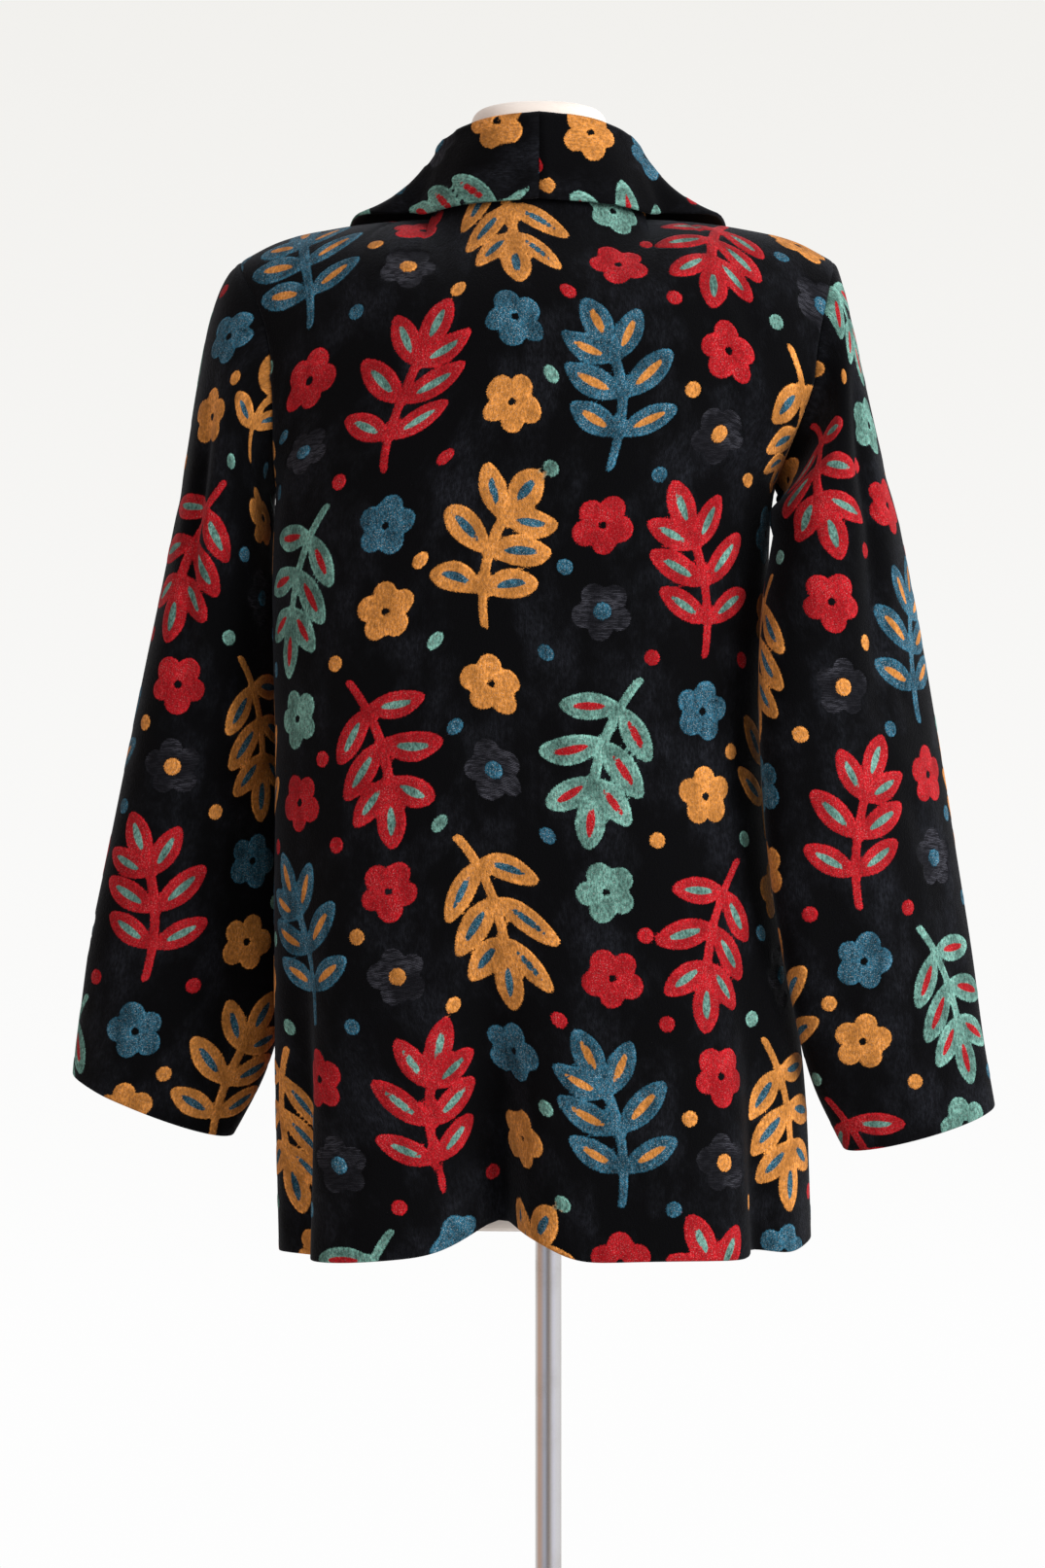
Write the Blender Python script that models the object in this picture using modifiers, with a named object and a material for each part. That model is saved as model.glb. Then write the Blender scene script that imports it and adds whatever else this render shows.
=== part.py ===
"""Hip-length velvet car coat with a shawl collar, worn by a limbless dress form on a pole stand.

Metres, +Z up. The origin is the centre of the stand's underside, on the floor.
The coat's back faces -Y, its front +Y, and its right side (the wearer's right) is +X.
"""

import math
from functools import partial

import bmesh
import bpy
import numpy as np

# Cloth and seams
CLOTH_WALL = 0.003
SEAM_GAP = 0.0003
SEAT_GAP = 0.0005
COLLAR_SEAT_GAP = 0.0009
WIDEST_DRAW = 0.0009

# The form stands 7 mm off the middle of its pole, and the coat with it
COAT_X = -0.0070

# Main heights
HEM_Z = 0.669
UNDERARM_Z = 1.213
BLADE_Z = 1.300
NECK_POINT_Z = 1.409
NAPE_Z = 1.418
BREAK_Z = 1.030
BREAK_ROW = 0.66

# Neckline, shoulder seam and armhole
NECK_HALF_WIDTH = 0.078
NECK_BACK_DEPTH = 0.056
NECK_POINT_Y = -0.004
SHOULDER_X = 0.214
SHOULDER_TIP_Y = -0.008
NECK_SHARE = 0.40
UNDERARM = (0.180, 0.0, UNDERARM_Z)
BACK_ARMHOLE_BEND = (0.180, -0.060, 1.220)
BACK_ARMHOLE_MID = (0.192, -0.064, 1.285)
FRONT_ARMHOLE_BEND = (0.178, 0.056, 1.220)
FRONT_ARMHOLE_MID = (0.184, 0.060, 1.285)
BACK_ARC_DEG = 60.0
FRONT_ARC_DEG = 66.0
CORNER_PUSH = 0.07
SLOPE_STEP = 0.004

# Headings (x, y, z) of the yoke's curves where they leave the blades and where they reach the
# top, with the share of their length that they hold them; x is away from the middle
BACK_YOKE_LEAVES = (0.0, 0.03, 1.0)
BACK_YOKE_AT_NAPE = (0.0, 0.42, 0.91)
BACK_YOKE_AT_SHOULDER = (0.0, 0.97, 0.25)
BACK_YOKE_HOLDS = (0.42, 0.40)
BACK_YOKE_TURNS = (0.15, 0.35)
FRONT_YOKE_LEAVES_ARMHOLE = (0.0, -0.12, 1.0)
FRONT_YOKE_LEAVES_EDGE = (0.0, -0.24, 1.0)
FRONT_YOKE_AT_TIP = (0.0, -0.95, 0.26)
FRONT_YOKE_AT_NECK = (0.10, -0.95, 0.38)
FRONT_YOKE_HOLDS = (0.40, 0.38)

# The same for the sleeve's cap, under the arm and over the shoulder
CAP_LEAVES_UNDERARM = (0.62, 0.0, -0.78)
CAP_LEAVES_SHOULDER = (0.80, -0.25, -0.60)
RIGHT_CAP_ARRIVES = (-0.27, 0.0, 1.0)
LEFT_CAP_ARRIVES = (-0.20, 0.0, 1.0)
CAP_HOLDS = (0.34, 0.50)

# How much lower the cuff hangs behind than in front, as half of the difference
CUFF_DIP = 0.0045

# A stand of this height holds the collar's fall fully off the panel
UPRIGHT_STAND = 0.030
STAND_LEANS_IN = 0.30
STAND_LEANS_BACK = -0.12
STAND_TURNS = 0.30

# Stand
POLE_RADIUS = 0.0095
BASE_RADIUS = 0.175
BASE_THICKNESS = 0.008
BASE_EDGE = 0.002
HUB_RADIUS = 0.018
HUB_HEIGHT = 0.024
FORM_BOTTOM_Z = 0.6855

BODY_COLUMNS = ("height", "half_width", "back", "front", "opening")
BODY_SECTIONS = (
    (HEM_Z, 0.1905, 0.140, 0.150, 0.016),
    (0.800, 0.1895, 0.134, 0.149, 0.014),
    (0.930, 0.1815, 0.128, 0.147, 0.011),
    (BREAK_Z, 0.177, 0.123, 0.144, 0.010),
    (1.120, 0.179, 0.121, 0.142, 0.018),
    (UNDERARM_Z, 0.180, 0.123, 0.134, 0.031),
    (BLADE_Z, 0.190, 0.122, 0.112, 0.046),
)

SHOULDER_COLUMNS = ("x", "height")
SHOULDER_LINE = (
    (NECK_HALF_WIDTH, NECK_POINT_Z),
    (0.110, 1.4065),
    (0.146, 1.4015),
    (0.190, 1.3900),
    (SHOULDER_X, 1.3770),
)

# How far the hanging coat leans to its right at each height, less so at its front
FRONT_LEAN_SHARE = 0.35
FRONT_LEAN_DEPTH = 0.10
LEAN_COLUMNS = ("height", "shift")
LEAN = (
    (HEM_Z, 0.0015),
    (0.800, -0.0020),
    (0.930, -0.0100),
    (1.100, -0.0135),
    (UNDERARM_Z, -0.0095),
    (1.285, 0.0025),
    (1.330, 0.0025),
    (1.370, -0.0010),
    (1.420, 0.0000),
)

# Girth runs in degrees from the centre back, + to the coat's right, 180 at the front.
# Depth is outwards at the hem, drift is degrees of girth for each metre above it.
FOLD_TAPER = 1.3
FOLD_COLUMNS = ("girth", "drift", "half_width", "depth", "top", "lift")
FOLDS = (
    (-11.5, 8.0, 8.2, -0.048, 0.98, 0.020),
    (-20.0, 0.0, 18.0, -0.007, 1.08, 0.0065),
    (-1.0, 2.0, 7.0, 0.0, 1.00, 0.009),
    (-94.0, 0.0, 16.0, 0.0, 1.08, -0.007),
    (96.0, 0.0, 12.0, 0.0, 1.08, 0.007),
    (24.0, 0.0, 26.0, 0.0, 1.08, 0.0055),
    (-43.0, 10.0, 13.0, 0.009, 1.10, 0.0),
    (34.0, -6.0, 16.0, 0.008, 1.10, 0.0),
    (-61.0, 30.0, 7.0, -0.022, 1.02, -0.002),
    (52.0, -18.0, 6.5, -0.017, 1.00, 0.004),
    (76.0, 0.0, 11.0, 0.005, 1.06, 0.006),
    (-98.0, 0.0, 13.0, -0.010, 1.16, 0.0),
    (104.0, 0.0, 9.0, -0.016, 1.06, 0.0),
    (124.0, 6.0, 10.0, 0.010, 1.08, 0.0),
    (144.0, 10.0, 8.0, -0.018, 1.04, 0.002),
    (-126.0, 0.0, 10.0, 0.010, 1.08, 0.0),
    (-147.0, -8.0, 8.5, -0.020, 1.05, 0.002),
)

# Sleeve sections, from the upper arm to the cuff; x is measured away from the coat's middle.
# Slope raises and skew brings forward what lies further out; head is the fullness of the cap.
SLEEVE_COLUMNS = ("height", "outer", "inner", "middle_y", "half_depth", "slope", "skew")
RIGHT_SLEEVE_HEAD = 0.045
RIGHT_SLEEVE = (
    (1.180, 0.2575, 0.1655, -0.042, 0.066, 0.10, 0.34),
    (1.130, 0.2665, 0.1585, -0.052, 0.062, 0.12, 0.42),
    (1.080, 0.2765, 0.1560, -0.053, 0.056, 0.15, 0.52),
    (1.000, 0.2900, 0.1560, -0.052, 0.050, 0.18, 0.55),
    (0.930, 0.3000, 0.1640, -0.050, 0.045, 0.20, 0.50),
    (0.860, 0.3110, 0.1780, -0.042, 0.041, 0.22, 0.40),
    (0.800, 0.3195, 0.1950, -0.032, 0.038, 0.24, 0.25),
    (0.754, 0.3280, 0.2180, -0.022, 0.035, 0.27, 0.12),
)
LEFT_SLEEVE_HEAD = 0.18
LEFT_SLEEVE = (
    (1.180, 0.2655, 0.1930, 0.018, 0.072, 0.10, -0.10),
    (1.130, 0.2755, 0.1910, 0.028, 0.072, 0.14, -0.28),
    (1.080, 0.2855, 0.1885, 0.032, 0.068, 0.16, -0.38),
    (1.000, 0.3000, 0.1860, 0.032, 0.060, 0.20, -0.40),
    (0.930, 0.3130, 0.1860, 0.032, 0.053, 0.24, -0.35),
    (0.860, 0.3265, 0.1870, 0.028, 0.046, 0.30, -0.20),
    (0.810, 0.3340, 0.2010, 0.025, 0.041, 0.34, -0.10),
    (0.766, 0.3405, 0.2230, 0.022, 0.037, 0.38, 0.00),
)

# Creases and puffs of the empty sleeves. Round is 0 under the arm, 0.5 at the back, 1 outside,
# 1.5 at the front; along is 0 at the armhole, 1 at the upper arm and 2 at the cuff.
CREASE_COLUMNS = ("round", "drift", "half_width", "depth", "start", "end")
CREASES = (
    (0.74, -0.14, 0.060, -0.009, 0.35, 1.55),
    (1.42, -0.05, 0.090, -0.006, 0.60, 1.90),
    (0.30, 0.05, 0.100, -0.005, 1.20, 2.10),
    (1.10, 0.00, 0.120, 0.003, 1.20, 2.10),
)

# Collar sections from the centre back to the break. Along is 0 to 0.4 round the back neck, and
# past that 3.4 less it is the row of the front edge. The edge is a place on the panel: row 0 is the
# hem, 1 the underarm, 2 the blades, 3 the top; side is 0 at the centre back and 1 at the armhole
# on the back, and 0 at the armhole and 1 at the front edge on the front.
COLLAR_COLUMNS = ("along", "edge_row", "edge_side", "stand", "roll", "bow", "lift")
COLLAR_BACK = (
    (0.00, 2.930, 0.000, 0.0483, 0.0040, 0.0016, 0.006),
    (0.10, 2.930, 0.170, 0.0466, 0.0040, 0.0014, 0.006),
    (0.20, 2.925, 0.330, 0.0462, 0.0040, 0.0006, 0.006),
    (0.30, 2.925, 0.460, 0.0446, 0.0040, -0.0010, 0.006),
    (0.37, 2.960, 0.560, 0.0411, 0.0040, -0.0025, 0.006),
)
COLLAR_FRONT = (
    (0.43, 3.00, 0.630, 0.0360, 0.0040, -0.0040, 0.006),
    (0.55, 2.84, 0.540, 0.0260, 0.0038, -0.0020, 0.006),
    (0.74, 2.62, 0.430, 0.0160, 0.0034, 0.0000, 0.006),
    (1.00, 2.33, 0.340, 0.0080, 0.0030, 0.0010, 0.006),
    (1.30, 2.02, 0.290, 0.0045, 0.0028, 0.0010, 0.006),
    (1.70, 1.62, 0.300, 0.0035, 0.0026, 0.0010, 0.006),
    (2.15, 1.18, 0.360, 0.0030, 0.0026, 0.0010, 0.006),
    (2.42, 0.93, 0.460, 0.0030, 0.0026, 0.0010, 0.006),
    (2.56, 0.79, 0.640, 0.0030, 0.0026, 0.0005, 0.006),
    (2.67, 0.69, 0.830, 0.0030, 0.0026, 0.0002, 0.006),
    (2.74, 0.64, 0.955, 0.0030, 0.0026, 0.0000, 0.006),
)

# The form follows the coat's lean only at its shoulders
FORM_LEAN_FROM_Z = 1.300
FORM_LEAN_OVER = 0.060
FORM_CORNER_PUSH = 0.04

# Places of a collar section's points, from its root to its edge; share and bow of the fall
FALL_KNOTS = (0.0, 0.22, 0.40, 0.46, 0.52, 0.64, 0.76, 0.88, 1.0)
FALL_BOW = ((0.25, 0.8), (0.50, 1.0), (0.75, 0.6))

# Wing is the share of a section's depth that is left towards its two ends
FORM_COLUMNS = ("height", "half_width", "back", "front", "wing")
FORM_LOWER = (
    (FORM_BOTTOM_Z, 0.146, 0.068, 0.078, 1.0),
    (0.694, 0.152, 0.074, 0.084, 1.0),
    (0.740, 0.156, 0.082, 0.090, 1.0),
    (0.800, 0.158, 0.087, 0.092, 1.0),
    (0.880, 0.148, 0.085, 0.088, 1.0),
    (0.940, 0.130, 0.078, 0.082, 1.0),
    (1.000, 0.119, 0.072, 0.078, 1.0),
    (1.060, 0.126, 0.080, 0.088, 1.0),
    (1.120, 0.138, 0.090, 0.104, 1.0),
    (1.175, 0.146, 0.096, 0.114, 1.0),
    (1.230, 0.150, 0.098, 0.104, 1.0),
    (1.280, 0.159, 0.096, 0.084, 0.95),
    (1.325, 0.173, 0.078, 0.062, 0.80),
    (1.355, 0.179, 0.056, 0.048, 0.45),
)
# Shoulder rings of the form lie under the coat's shoulder seam, a drop below it
FORM_SHOULDER_COLUMNS = ("half_width", "back", "front", "wing", "drop")
FORM_SHOULDERS = (
    (0.180, 0.035, 0.036, 0.14, 0.0002),
    (0.158, 0.036, 0.037, 0.16, 0.0040),
    (0.124, 0.037, 0.038, 0.20, 0.0085),
    (0.092, 0.039, 0.039, 0.30, 0.0100),
)
FORM_NECK = (
    (1.4040, 0.062, 0.041, 0.041, 1.0),
    (1.4160, 0.054, 0.042, 0.045, 1.0),
    (1.4320, 0.0505, 0.044, 0.048, 1.0),
    (1.4600, 0.0490, 0.0450, 0.0490, 1.0),
    (1.4760, 0.0488, 0.0450, 0.0490, 1.0),
    (1.4835, 0.0450, 0.0410, 0.0455, 1.0),
    (1.4870, 0.0360, 0.0320, 0.0365, 1.0),
)

# How finely the solids are cut
LOWER_ROWS = 12
ARMHOLE_ROWS = 5
YOKE_ROWS = 6
NECK_COLUMNS = 8
SHOULDER_COLUMNS_CUT = 12
CAP_ROWS = 5
SLEEVE_ROWS = 12
FORM_SIDES = 28
ROUND_SIDES = 32

BLACK_VELVET = ((0.012, 0.012, 0.016), 0.85, 0.0)
LINEN = ((0.80, 0.74, 0.66), 0.75, 0.0)
POLISHED_STEEL = ((0.62, 0.62, 0.64), 0.22, 1.0)
GREY_ENAMEL = ((0.55, 0.55, 0.56), 0.40, 0.6)


def named(columns, rows):
    """A table's columns as arrays, under their names."""
    return dict(zip(columns, np.array(rows, float).T))


def smooth_through(keys, values, at):
    """A smooth curve through (keys, values), read at the given places: cubic between the keys."""
    keys = np.asarray(keys, float)
    values = np.asarray(values, float)
    if keys[0] > keys[-1]:
        keys, values = keys[::-1], values[::-1]
    at = np.clip(np.asarray(at, float), keys[0], keys[-1])
    slopes = np.gradient(values, keys, axis=0)
    index = np.clip(np.searchsorted(keys, at, side="right") - 1, 0, len(keys) - 2)
    step = keys[index + 1] - keys[index]
    share = (at - keys[index]) / step
    wide = share.shape + (1,) * (values.ndim - 1)
    share, step = share.reshape(wide), step.reshape(wide)
    rise = share * share * (3 - 2 * share)
    return (
        values[index] * (1 - rise)
        + values[index + 1] * rise
        + slopes[index] * step * share * (1 - share) ** 2
        - slopes[index + 1] * step * share**2 * (1 - share)
    )


def ease(share):
    """Rises smoothly from 0 to 1."""
    share = np.clip(share, 0.0, 1.0)
    return share * share * (3 - 2 * share)


def bend(start, middle, end, share):
    """A quadratic curve from start to end that heads for middle."""
    share = np.asarray(share, float)[..., None]
    start, middle, end = (np.array(p, float) for p in (start, middle, end))
    return start * (1 - share) ** 2 + 2 * middle * share * (1 - share) + end * share**2


def cubic(first, second, third, fourth, share):
    """A cubic curve from first to fourth, led by second and third."""
    share = share[..., None]
    rest = 1 - share
    return (
        first * rest**3
        + 3 * second * rest**2 * share
        + 3 * third * rest * share**2
        + fourth * share**3
    )


def heading(first, last, share, side=1.0):
    """Directions that turn from first to last, mirrored where side is -1."""
    share = np.asarray(share, float)[..., None]
    turned = np.array(first) * (1 - share) + np.array(last) * share
    turned[..., 0] *= side
    return unit(turned)


def unit(vectors):
    """Vectors of length 1."""
    length = np.linalg.norm(vectors, axis=-1, keepdims=True)
    return vectors / np.maximum(length, 1e-9)


def section_at(height):
    """Half width, depths and opening of the body at a height."""
    body = named(BODY_COLUMNS, BODY_SECTIONS)
    return {
        name: smooth_through(body["height"], body[name], height)
        for name in BODY_COLUMNS[1:]
    }


def lean_and_place(points):
    """Leans the hanging coat and moves it to its place beside the pole's axis."""
    lean = named(LEAN_COLUMNS, LEAN)
    shift = smooth_through(lean["height"], lean["shift"], points[..., 2])
    to_front = ease(points[..., 1] / FRONT_LEAN_DEPTH)
    placed = points.copy()
    placed[..., 0] += COAT_X + shift * (1 + (FRONT_LEAN_SHARE - 1) * to_front)
    return placed


def fold_out(girth, height):
    """How far the folds push the cloth outwards, and lift its hem, at a girth in degrees."""
    out = np.zeros(np.broadcast(girth, height).shape)
    lift = np.zeros_like(out)
    for row in FOLDS:
        fold = dict(zip(FOLD_COLUMNS, row))
        middle = fold["girth"] + fold["drift"] * (height - HEM_Z)
        swell = np.exp(-(((girth - middle) / fold["half_width"]) ** 2))
        ramp = ease((fold["top"] - height) / (fold["top"] - HEM_Z)) ** FOLD_TAPER
        out += fold["depth"] * swell * ramp
        lift += fold["lift"] * swell * ramp**3
    return out, lift


def row_height(row):
    """Height of the panel's middle at a row from 0, the hem, to 2, the blades."""
    return np.where(
        row < 1,
        HEM_Z + (UNDERARM_Z - HEM_Z) * row,
        UNDERARM_Z + (BLADE_Z - UNDERARM_Z) * (row - 1),
    )


def arc_row(row, turn, side, armhole_bend, armhole_mid, arc_deg, depth, facing):
    """Points on a panel's row: an elliptical arc from its middle out to the side or armhole.

    turn is 0 at the middle and 1 at the side; facing is -1 for the back and 1 for the front.
    """
    above = np.clip(row - 1, 0, 1)
    height = row_height(row)
    half_width = section_at(height)["half_width"]
    edge = bend(UNDERARM, armhole_bend, armhole_mid, above)
    edge_x = np.where(row < 1, half_width, edge[..., 0])
    edge_y = np.where(row < 1, 0.0, edge[..., 1])
    edge_z = np.where(row < 1, height, edge[..., 2])
    widest = np.radians(90.0 + (arc_deg - 90.0) * ease(above))
    angle = widest * turn
    push = CORNER_PUSH * (1 - 0.5 * above)
    swell = 1 + push * np.sin(2 * angle) ** 2
    rim = 1 + push * np.sin(2 * widest) ** 2
    across = edge_x * np.sin(angle) / np.sin(widest) * swell / rim
    inwards = (np.cos(angle) - np.cos(widest)) / (1 - np.cos(widest))
    middle_y = facing * depth
    along = edge_y + (middle_y - edge_y) * inwards * swell
    up = height + (edge_z - height) * (1 - inwards)
    girth = 90.0 * turn if facing < 0 else 180.0 - 90.0 * turn
    out, lift = fold_out(side * girth, height)
    flat_angle = np.pi / 2 * turn
    return np.stack(
        [
            side * (across + out * np.sin(flat_angle)),
            along + facing * out * np.cos(flat_angle),
            up + lift,
        ],
        axis=-1,
    )


def shoulder_height(x):
    """Height of the shoulder seam at a distance from the coat's middle."""
    line = named(SHOULDER_COLUMNS, SHOULDER_LINE)
    return smooth_through(line["x"], line["height"], x)


def shoulder_point(share, side):
    """A point on the shoulder seam, from 0 at the neck to 1 at the tip."""
    x = NECK_HALF_WIDTH + (SHOULDER_X - NECK_HALF_WIDTH) * share
    y = NECK_POINT_Y + (SHOULDER_TIP_Y - NECK_POINT_Y) * share
    return np.stack([side * x, y, shoulder_height(x)], axis=-1)


def back_top(place):
    """The back's top edge: round the neck, then along the shoulder seam. Place is -1 to 1."""
    size = np.abs(place)
    side = np.where(place < 0, -1.0, 1.0)
    angle = np.pi / 2 * np.clip(size / NECK_SHARE, 0, 1)
    neck = np.stack(
        [
            side * NECK_HALF_WIDTH * np.sin(angle),
            NECK_POINT_Y - NECK_BACK_DEPTH * np.cos(angle),
            NAPE_Z + (NECK_POINT_Z - NAPE_Z) * (1 - np.cos(angle)),
        ],
        axis=-1,
    )
    shoulder = shoulder_point(
        np.clip((size - NECK_SHARE) / (1 - NECK_SHARE), 0, 1), side
    )
    return np.where((size < NECK_SHARE)[..., None], neck, shoulder)


def back_surface(row, place):
    """The back, before it leans. Row runs from 0, the hem, to 3, the top; place from -1 to 1."""
    row, place = np.broadcast_arrays(np.asarray(row, float), np.asarray(place, float))
    side = np.where(place < 0, -1.0, 1.0)
    low = np.minimum(row, 2.0)
    lower = arc_row(
        low, np.abs(place), side, BACK_ARMHOLE_BEND, BACK_ARMHOLE_MID, BACK_ARC_DEG,
        section_at(row_height(low))["back"], -1.0,
    )
    top = back_top(place)
    reach = np.linalg.norm(top - lower, axis=-1, keepdims=True)
    turn_from, turn_over = BACK_YOKE_TURNS
    outward = ease((np.abs(place) - turn_from) / turn_over)
    leaving = np.array(BACK_YOKE_LEAVES)
    arriving = heading(BACK_YOKE_AT_NAPE, BACK_YOKE_AT_SHOULDER, outward)
    leave_share, arrive_share = BACK_YOKE_HOLDS
    yoke = cubic(
        lower, lower + leave_share * reach * leaving, top - arrive_share * reach * arriving, top,
        np.clip(row - 2, 0, 1),
    )
    return np.where((row <= 2)[..., None], lower, yoke)


def front_surface(row, place, side):
    """One front, before it leans. Place is 0 at the side seam or armhole, 1 at the front edge."""
    row, place = np.broadcast_arrays(np.asarray(row, float), np.asarray(place, float))
    low = np.minimum(row, 2.0)
    section = section_at(row_height(low))
    above = np.clip(low - 1, 0, 1)
    widest = np.radians(90.0 + (FRONT_ARC_DEG - 90.0) * ease(above))
    edge = bend(UNDERARM, FRONT_ARMHOLE_BEND, FRONT_ARMHOLE_MID, above)
    edge_x = np.where(low < 1, section["half_width"], edge[..., 0])
    inner_turn = np.arcsin(section["opening"] * np.sin(widest) / edge_x) / widest
    turn = 1 + (inner_turn - 1) * place
    lower = arc_row(
        low, turn, side, FRONT_ARMHOLE_BEND, FRONT_ARMHOLE_MID, FRONT_ARC_DEG,
        section["front"], 1.0,
    )
    top = shoulder_point(1 - place, side)
    reach = np.linalg.norm(top - lower, axis=-1, keepdims=True)
    leaving = heading(FRONT_YOKE_LEAVES_ARMHOLE, FRONT_YOKE_LEAVES_EDGE, place, side)
    arriving = heading(FRONT_YOKE_AT_TIP, FRONT_YOKE_AT_NECK, place, side)
    leave_share, arrive_share = FRONT_YOKE_HOLDS
    yoke = cubic(
        lower, lower + leave_share * reach * leaving, top - arrive_share * reach * arriving, top,
        np.clip(row - 2, 0, 1),
    )
    return np.where((row <= 2)[..., None], lower, yoke)


def armhole(turn, side):
    """The armhole seam, from 0 under the arm up the back to 1 at the shoulder and 2 again below."""
    row = np.where(turn <= 1, 1 + 2 * turn, 5 - 2 * turn)
    behind = back_surface(row, np.full_like(row, side))
    ahead = front_surface(row, np.zeros_like(row), side)
    return lean_and_place(np.where((turn <= 1)[..., None], behind, ahead))


def sleeve_surface(along, turn, side, sections, head, arrives):
    """A sleeve. Along is 0 at the armhole, 1 at the upper arm, 2 at the cuff; turn is 0 to 2."""
    along, turn = np.broadcast_arrays(np.asarray(along, float), np.asarray(turn, float))
    sleeve = named(SLEEVE_COLUMNS, sections)
    share = np.clip(along - 1, 0, 1)
    keys = (sleeve["height"][0] - sleeve["height"]) / np.ptp(sleeve["height"])
    at = {
        name: smooth_through(keys, sleeve[name], share) for name in SLEEVE_COLUMNS
    }
    angle = np.pi * turn
    middle = (at["outer"] + at["inner"]) / 2
    half_width = (at["outer"] - at["inner"]) / 2
    across = -half_width * np.cos(angle)
    tube = np.stack(
        [
            COAT_X + side * (middle + across),
            at["middle_y"] - at["half_depth"] * np.sin(angle) + at["skew"] * across,
            at["height"] + at["slope"] * across - CUFF_DIP * share**3 * np.sin(angle),
        ],
        axis=-1,
    )
    root = armhole(turn, side)
    reach = np.linalg.norm(tube - root, axis=-1, keepdims=True)
    topness = (1 - np.cos(angle)) / 2
    leaving = heading(CAP_LEAVES_UNDERARM, CAP_LEAVES_SHOULDER, topness, side)
    leaving[..., 1] *= np.sin(angle)
    arriving = heading(arrives, arrives, topness, side)
    underarm_share, arrive_share = CAP_HOLDS
    leave_share = (underarm_share + (head - underarm_share) * topness**2)[..., None]
    cap = cubic(
        root, root + leave_share * reach * leaving, tube + arrive_share * reach * arriving, tube,
        np.clip(along, 0, 1),
    )
    whole = np.where((along <= 1)[..., None], cap, tube)
    out = np.zeros(along.shape)
    for row in CREASES:
        crease = dict(zip(CREASE_COLUMNS, row))
        away = turn - crease["round"] - crease["drift"] * (along - crease["start"])
        swell = np.exp(-((away / crease["half_width"]) ** 2))
        middle_along = (crease["start"] + crease["end"]) / 2
        reach_along = (crease["end"] - crease["start"]) / 2
        fade = ease(1 - np.abs(along - middle_along) / reach_along)
        out += crease["depth"] * swell * fade
    push = np.stack(
        [side * -np.cos(angle), -np.sin(angle), np.zeros_like(angle)], axis=-1
    )
    return whole + out[..., None] * push


def surface_normal(points, closed_across=False):
    """Normals of a grid of points, as the cross product of its two directions."""
    down = np.gradient(points, axis=0)
    if closed_across:
        across = np.roll(points, -1, axis=1) - np.roll(points, 1, axis=1)
    else:
        across = np.gradient(points, axis=1)
    return unit(np.cross(across, down))


def panel_face(surface, row, place):
    """A point of a panel's outer face, and the normal that points out there."""
    up, down = np.minimum(row + SLOPE_STEP, 3), row - SLOPE_STEP
    ahead, behind = np.minimum(place + SLOPE_STEP, 1), place - SLOPE_STEP
    along = surface(up, place) - surface(down, place)
    across = surface(row, ahead) - surface(row, behind)
    return surface(row, place), unit(np.cross(across, along))


def collar_root(along):
    """Row and side of the collar's root, round the back neck and then down the front edge."""
    return np.where(along < NECK_SHARE, 3.0, 3.0 + NECK_SHARE - along), np.where(
        along < NECK_SHARE, along, 1.0
    )


def collar_sections(surface, rows):
    """Sections of the collar on one panel: a hairpin up the stand, over the roll and down.

    The fall of a station with a stand hangs from its roll to its edge. One with next to no
    stand, on the chest, lies along the panel instead.
    """
    at = named(COLLAR_COLUMNS, rows)
    stand, roll, bow, lift = (at[n][:, None] for n in ("stand", "roll", "bow", "lift"))
    root_row, root_side = collar_root(at["along"])
    root, root_out = panel_face(surface, root_row, root_side)
    edge, edge_out = panel_face(surface, at["edge_row"], at["edge_side"])
    edge = edge + edge_out * lift
    upright = ease(stand / UPRIGHT_STAND)
    round_neck = (root[:, 1] + NECK_BACK_DEPTH) / (2 * NECK_BACK_DEPTH)
    neck_lean = np.stack(
        [
            -STAND_LEANS_IN * np.clip(root[:, 0] / NECK_HALF_WIDTH, 0, 1),
            STAND_LEANS_BACK + STAND_TURNS * ease(round_neck),
            np.ones(len(root)),
        ],
        axis=-1,
    )
    up = unit(unit(neck_lean) * upright + root_out * (1 - upright))
    away = edge - root
    out = unit(away - up * np.sum(away * up, axis=-1, keepdims=True))
    top = root + up * stand
    over = top + 2 * out * roll
    section = [root, (root + top) / 2, top, top + (up + out) * roll, over]
    for share, bowing in FALL_BOW:
        hanging = over + (edge - over) * share + unit(out + up) * bow * bowing
        reach = share + 0.1 * (1 - share)
        row = root_row + (at["edge_row"] - root_row) * reach
        place = root_side + (at["edge_side"] - root_side) * reach
        face, face_out = panel_face(surface, row, place)
        section.append(hanging * upright + (face + face_out * lift) * (1 - upright))
    return np.stack(section + [edge])


def collar_surface(side, along, fall):
    """The under face of one half of the collar, from the centre back to the break."""
    right_front = partial(front_surface, side=1.0)
    behind = collar_sections(back_surface, COLLAR_BACK)
    ahead = collar_sections(right_front, COLLAR_FRONT)
    section = np.moveaxis(np.concatenate([behind, ahead], axis=1), 0, 1)
    keys = [row[0] for row in COLLAR_BACK + COLLAR_FRONT]
    at = smooth_through(keys, section, along)
    row, place = collar_root(along)
    root = np.where(
        (along < NECK_SHARE)[:, None], back_surface(row, place), right_front(row, place)
    )
    fade = (1 - np.array(FALL_KNOTS))[None, :, None]
    at = (at + (root - at[:, 0])[:, None] * fade) * np.array([side, 1.0, 1.0])
    return smooth_through(FALL_KNOTS, np.moveaxis(lean_and_place(at), 1, 0), fall)


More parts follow.
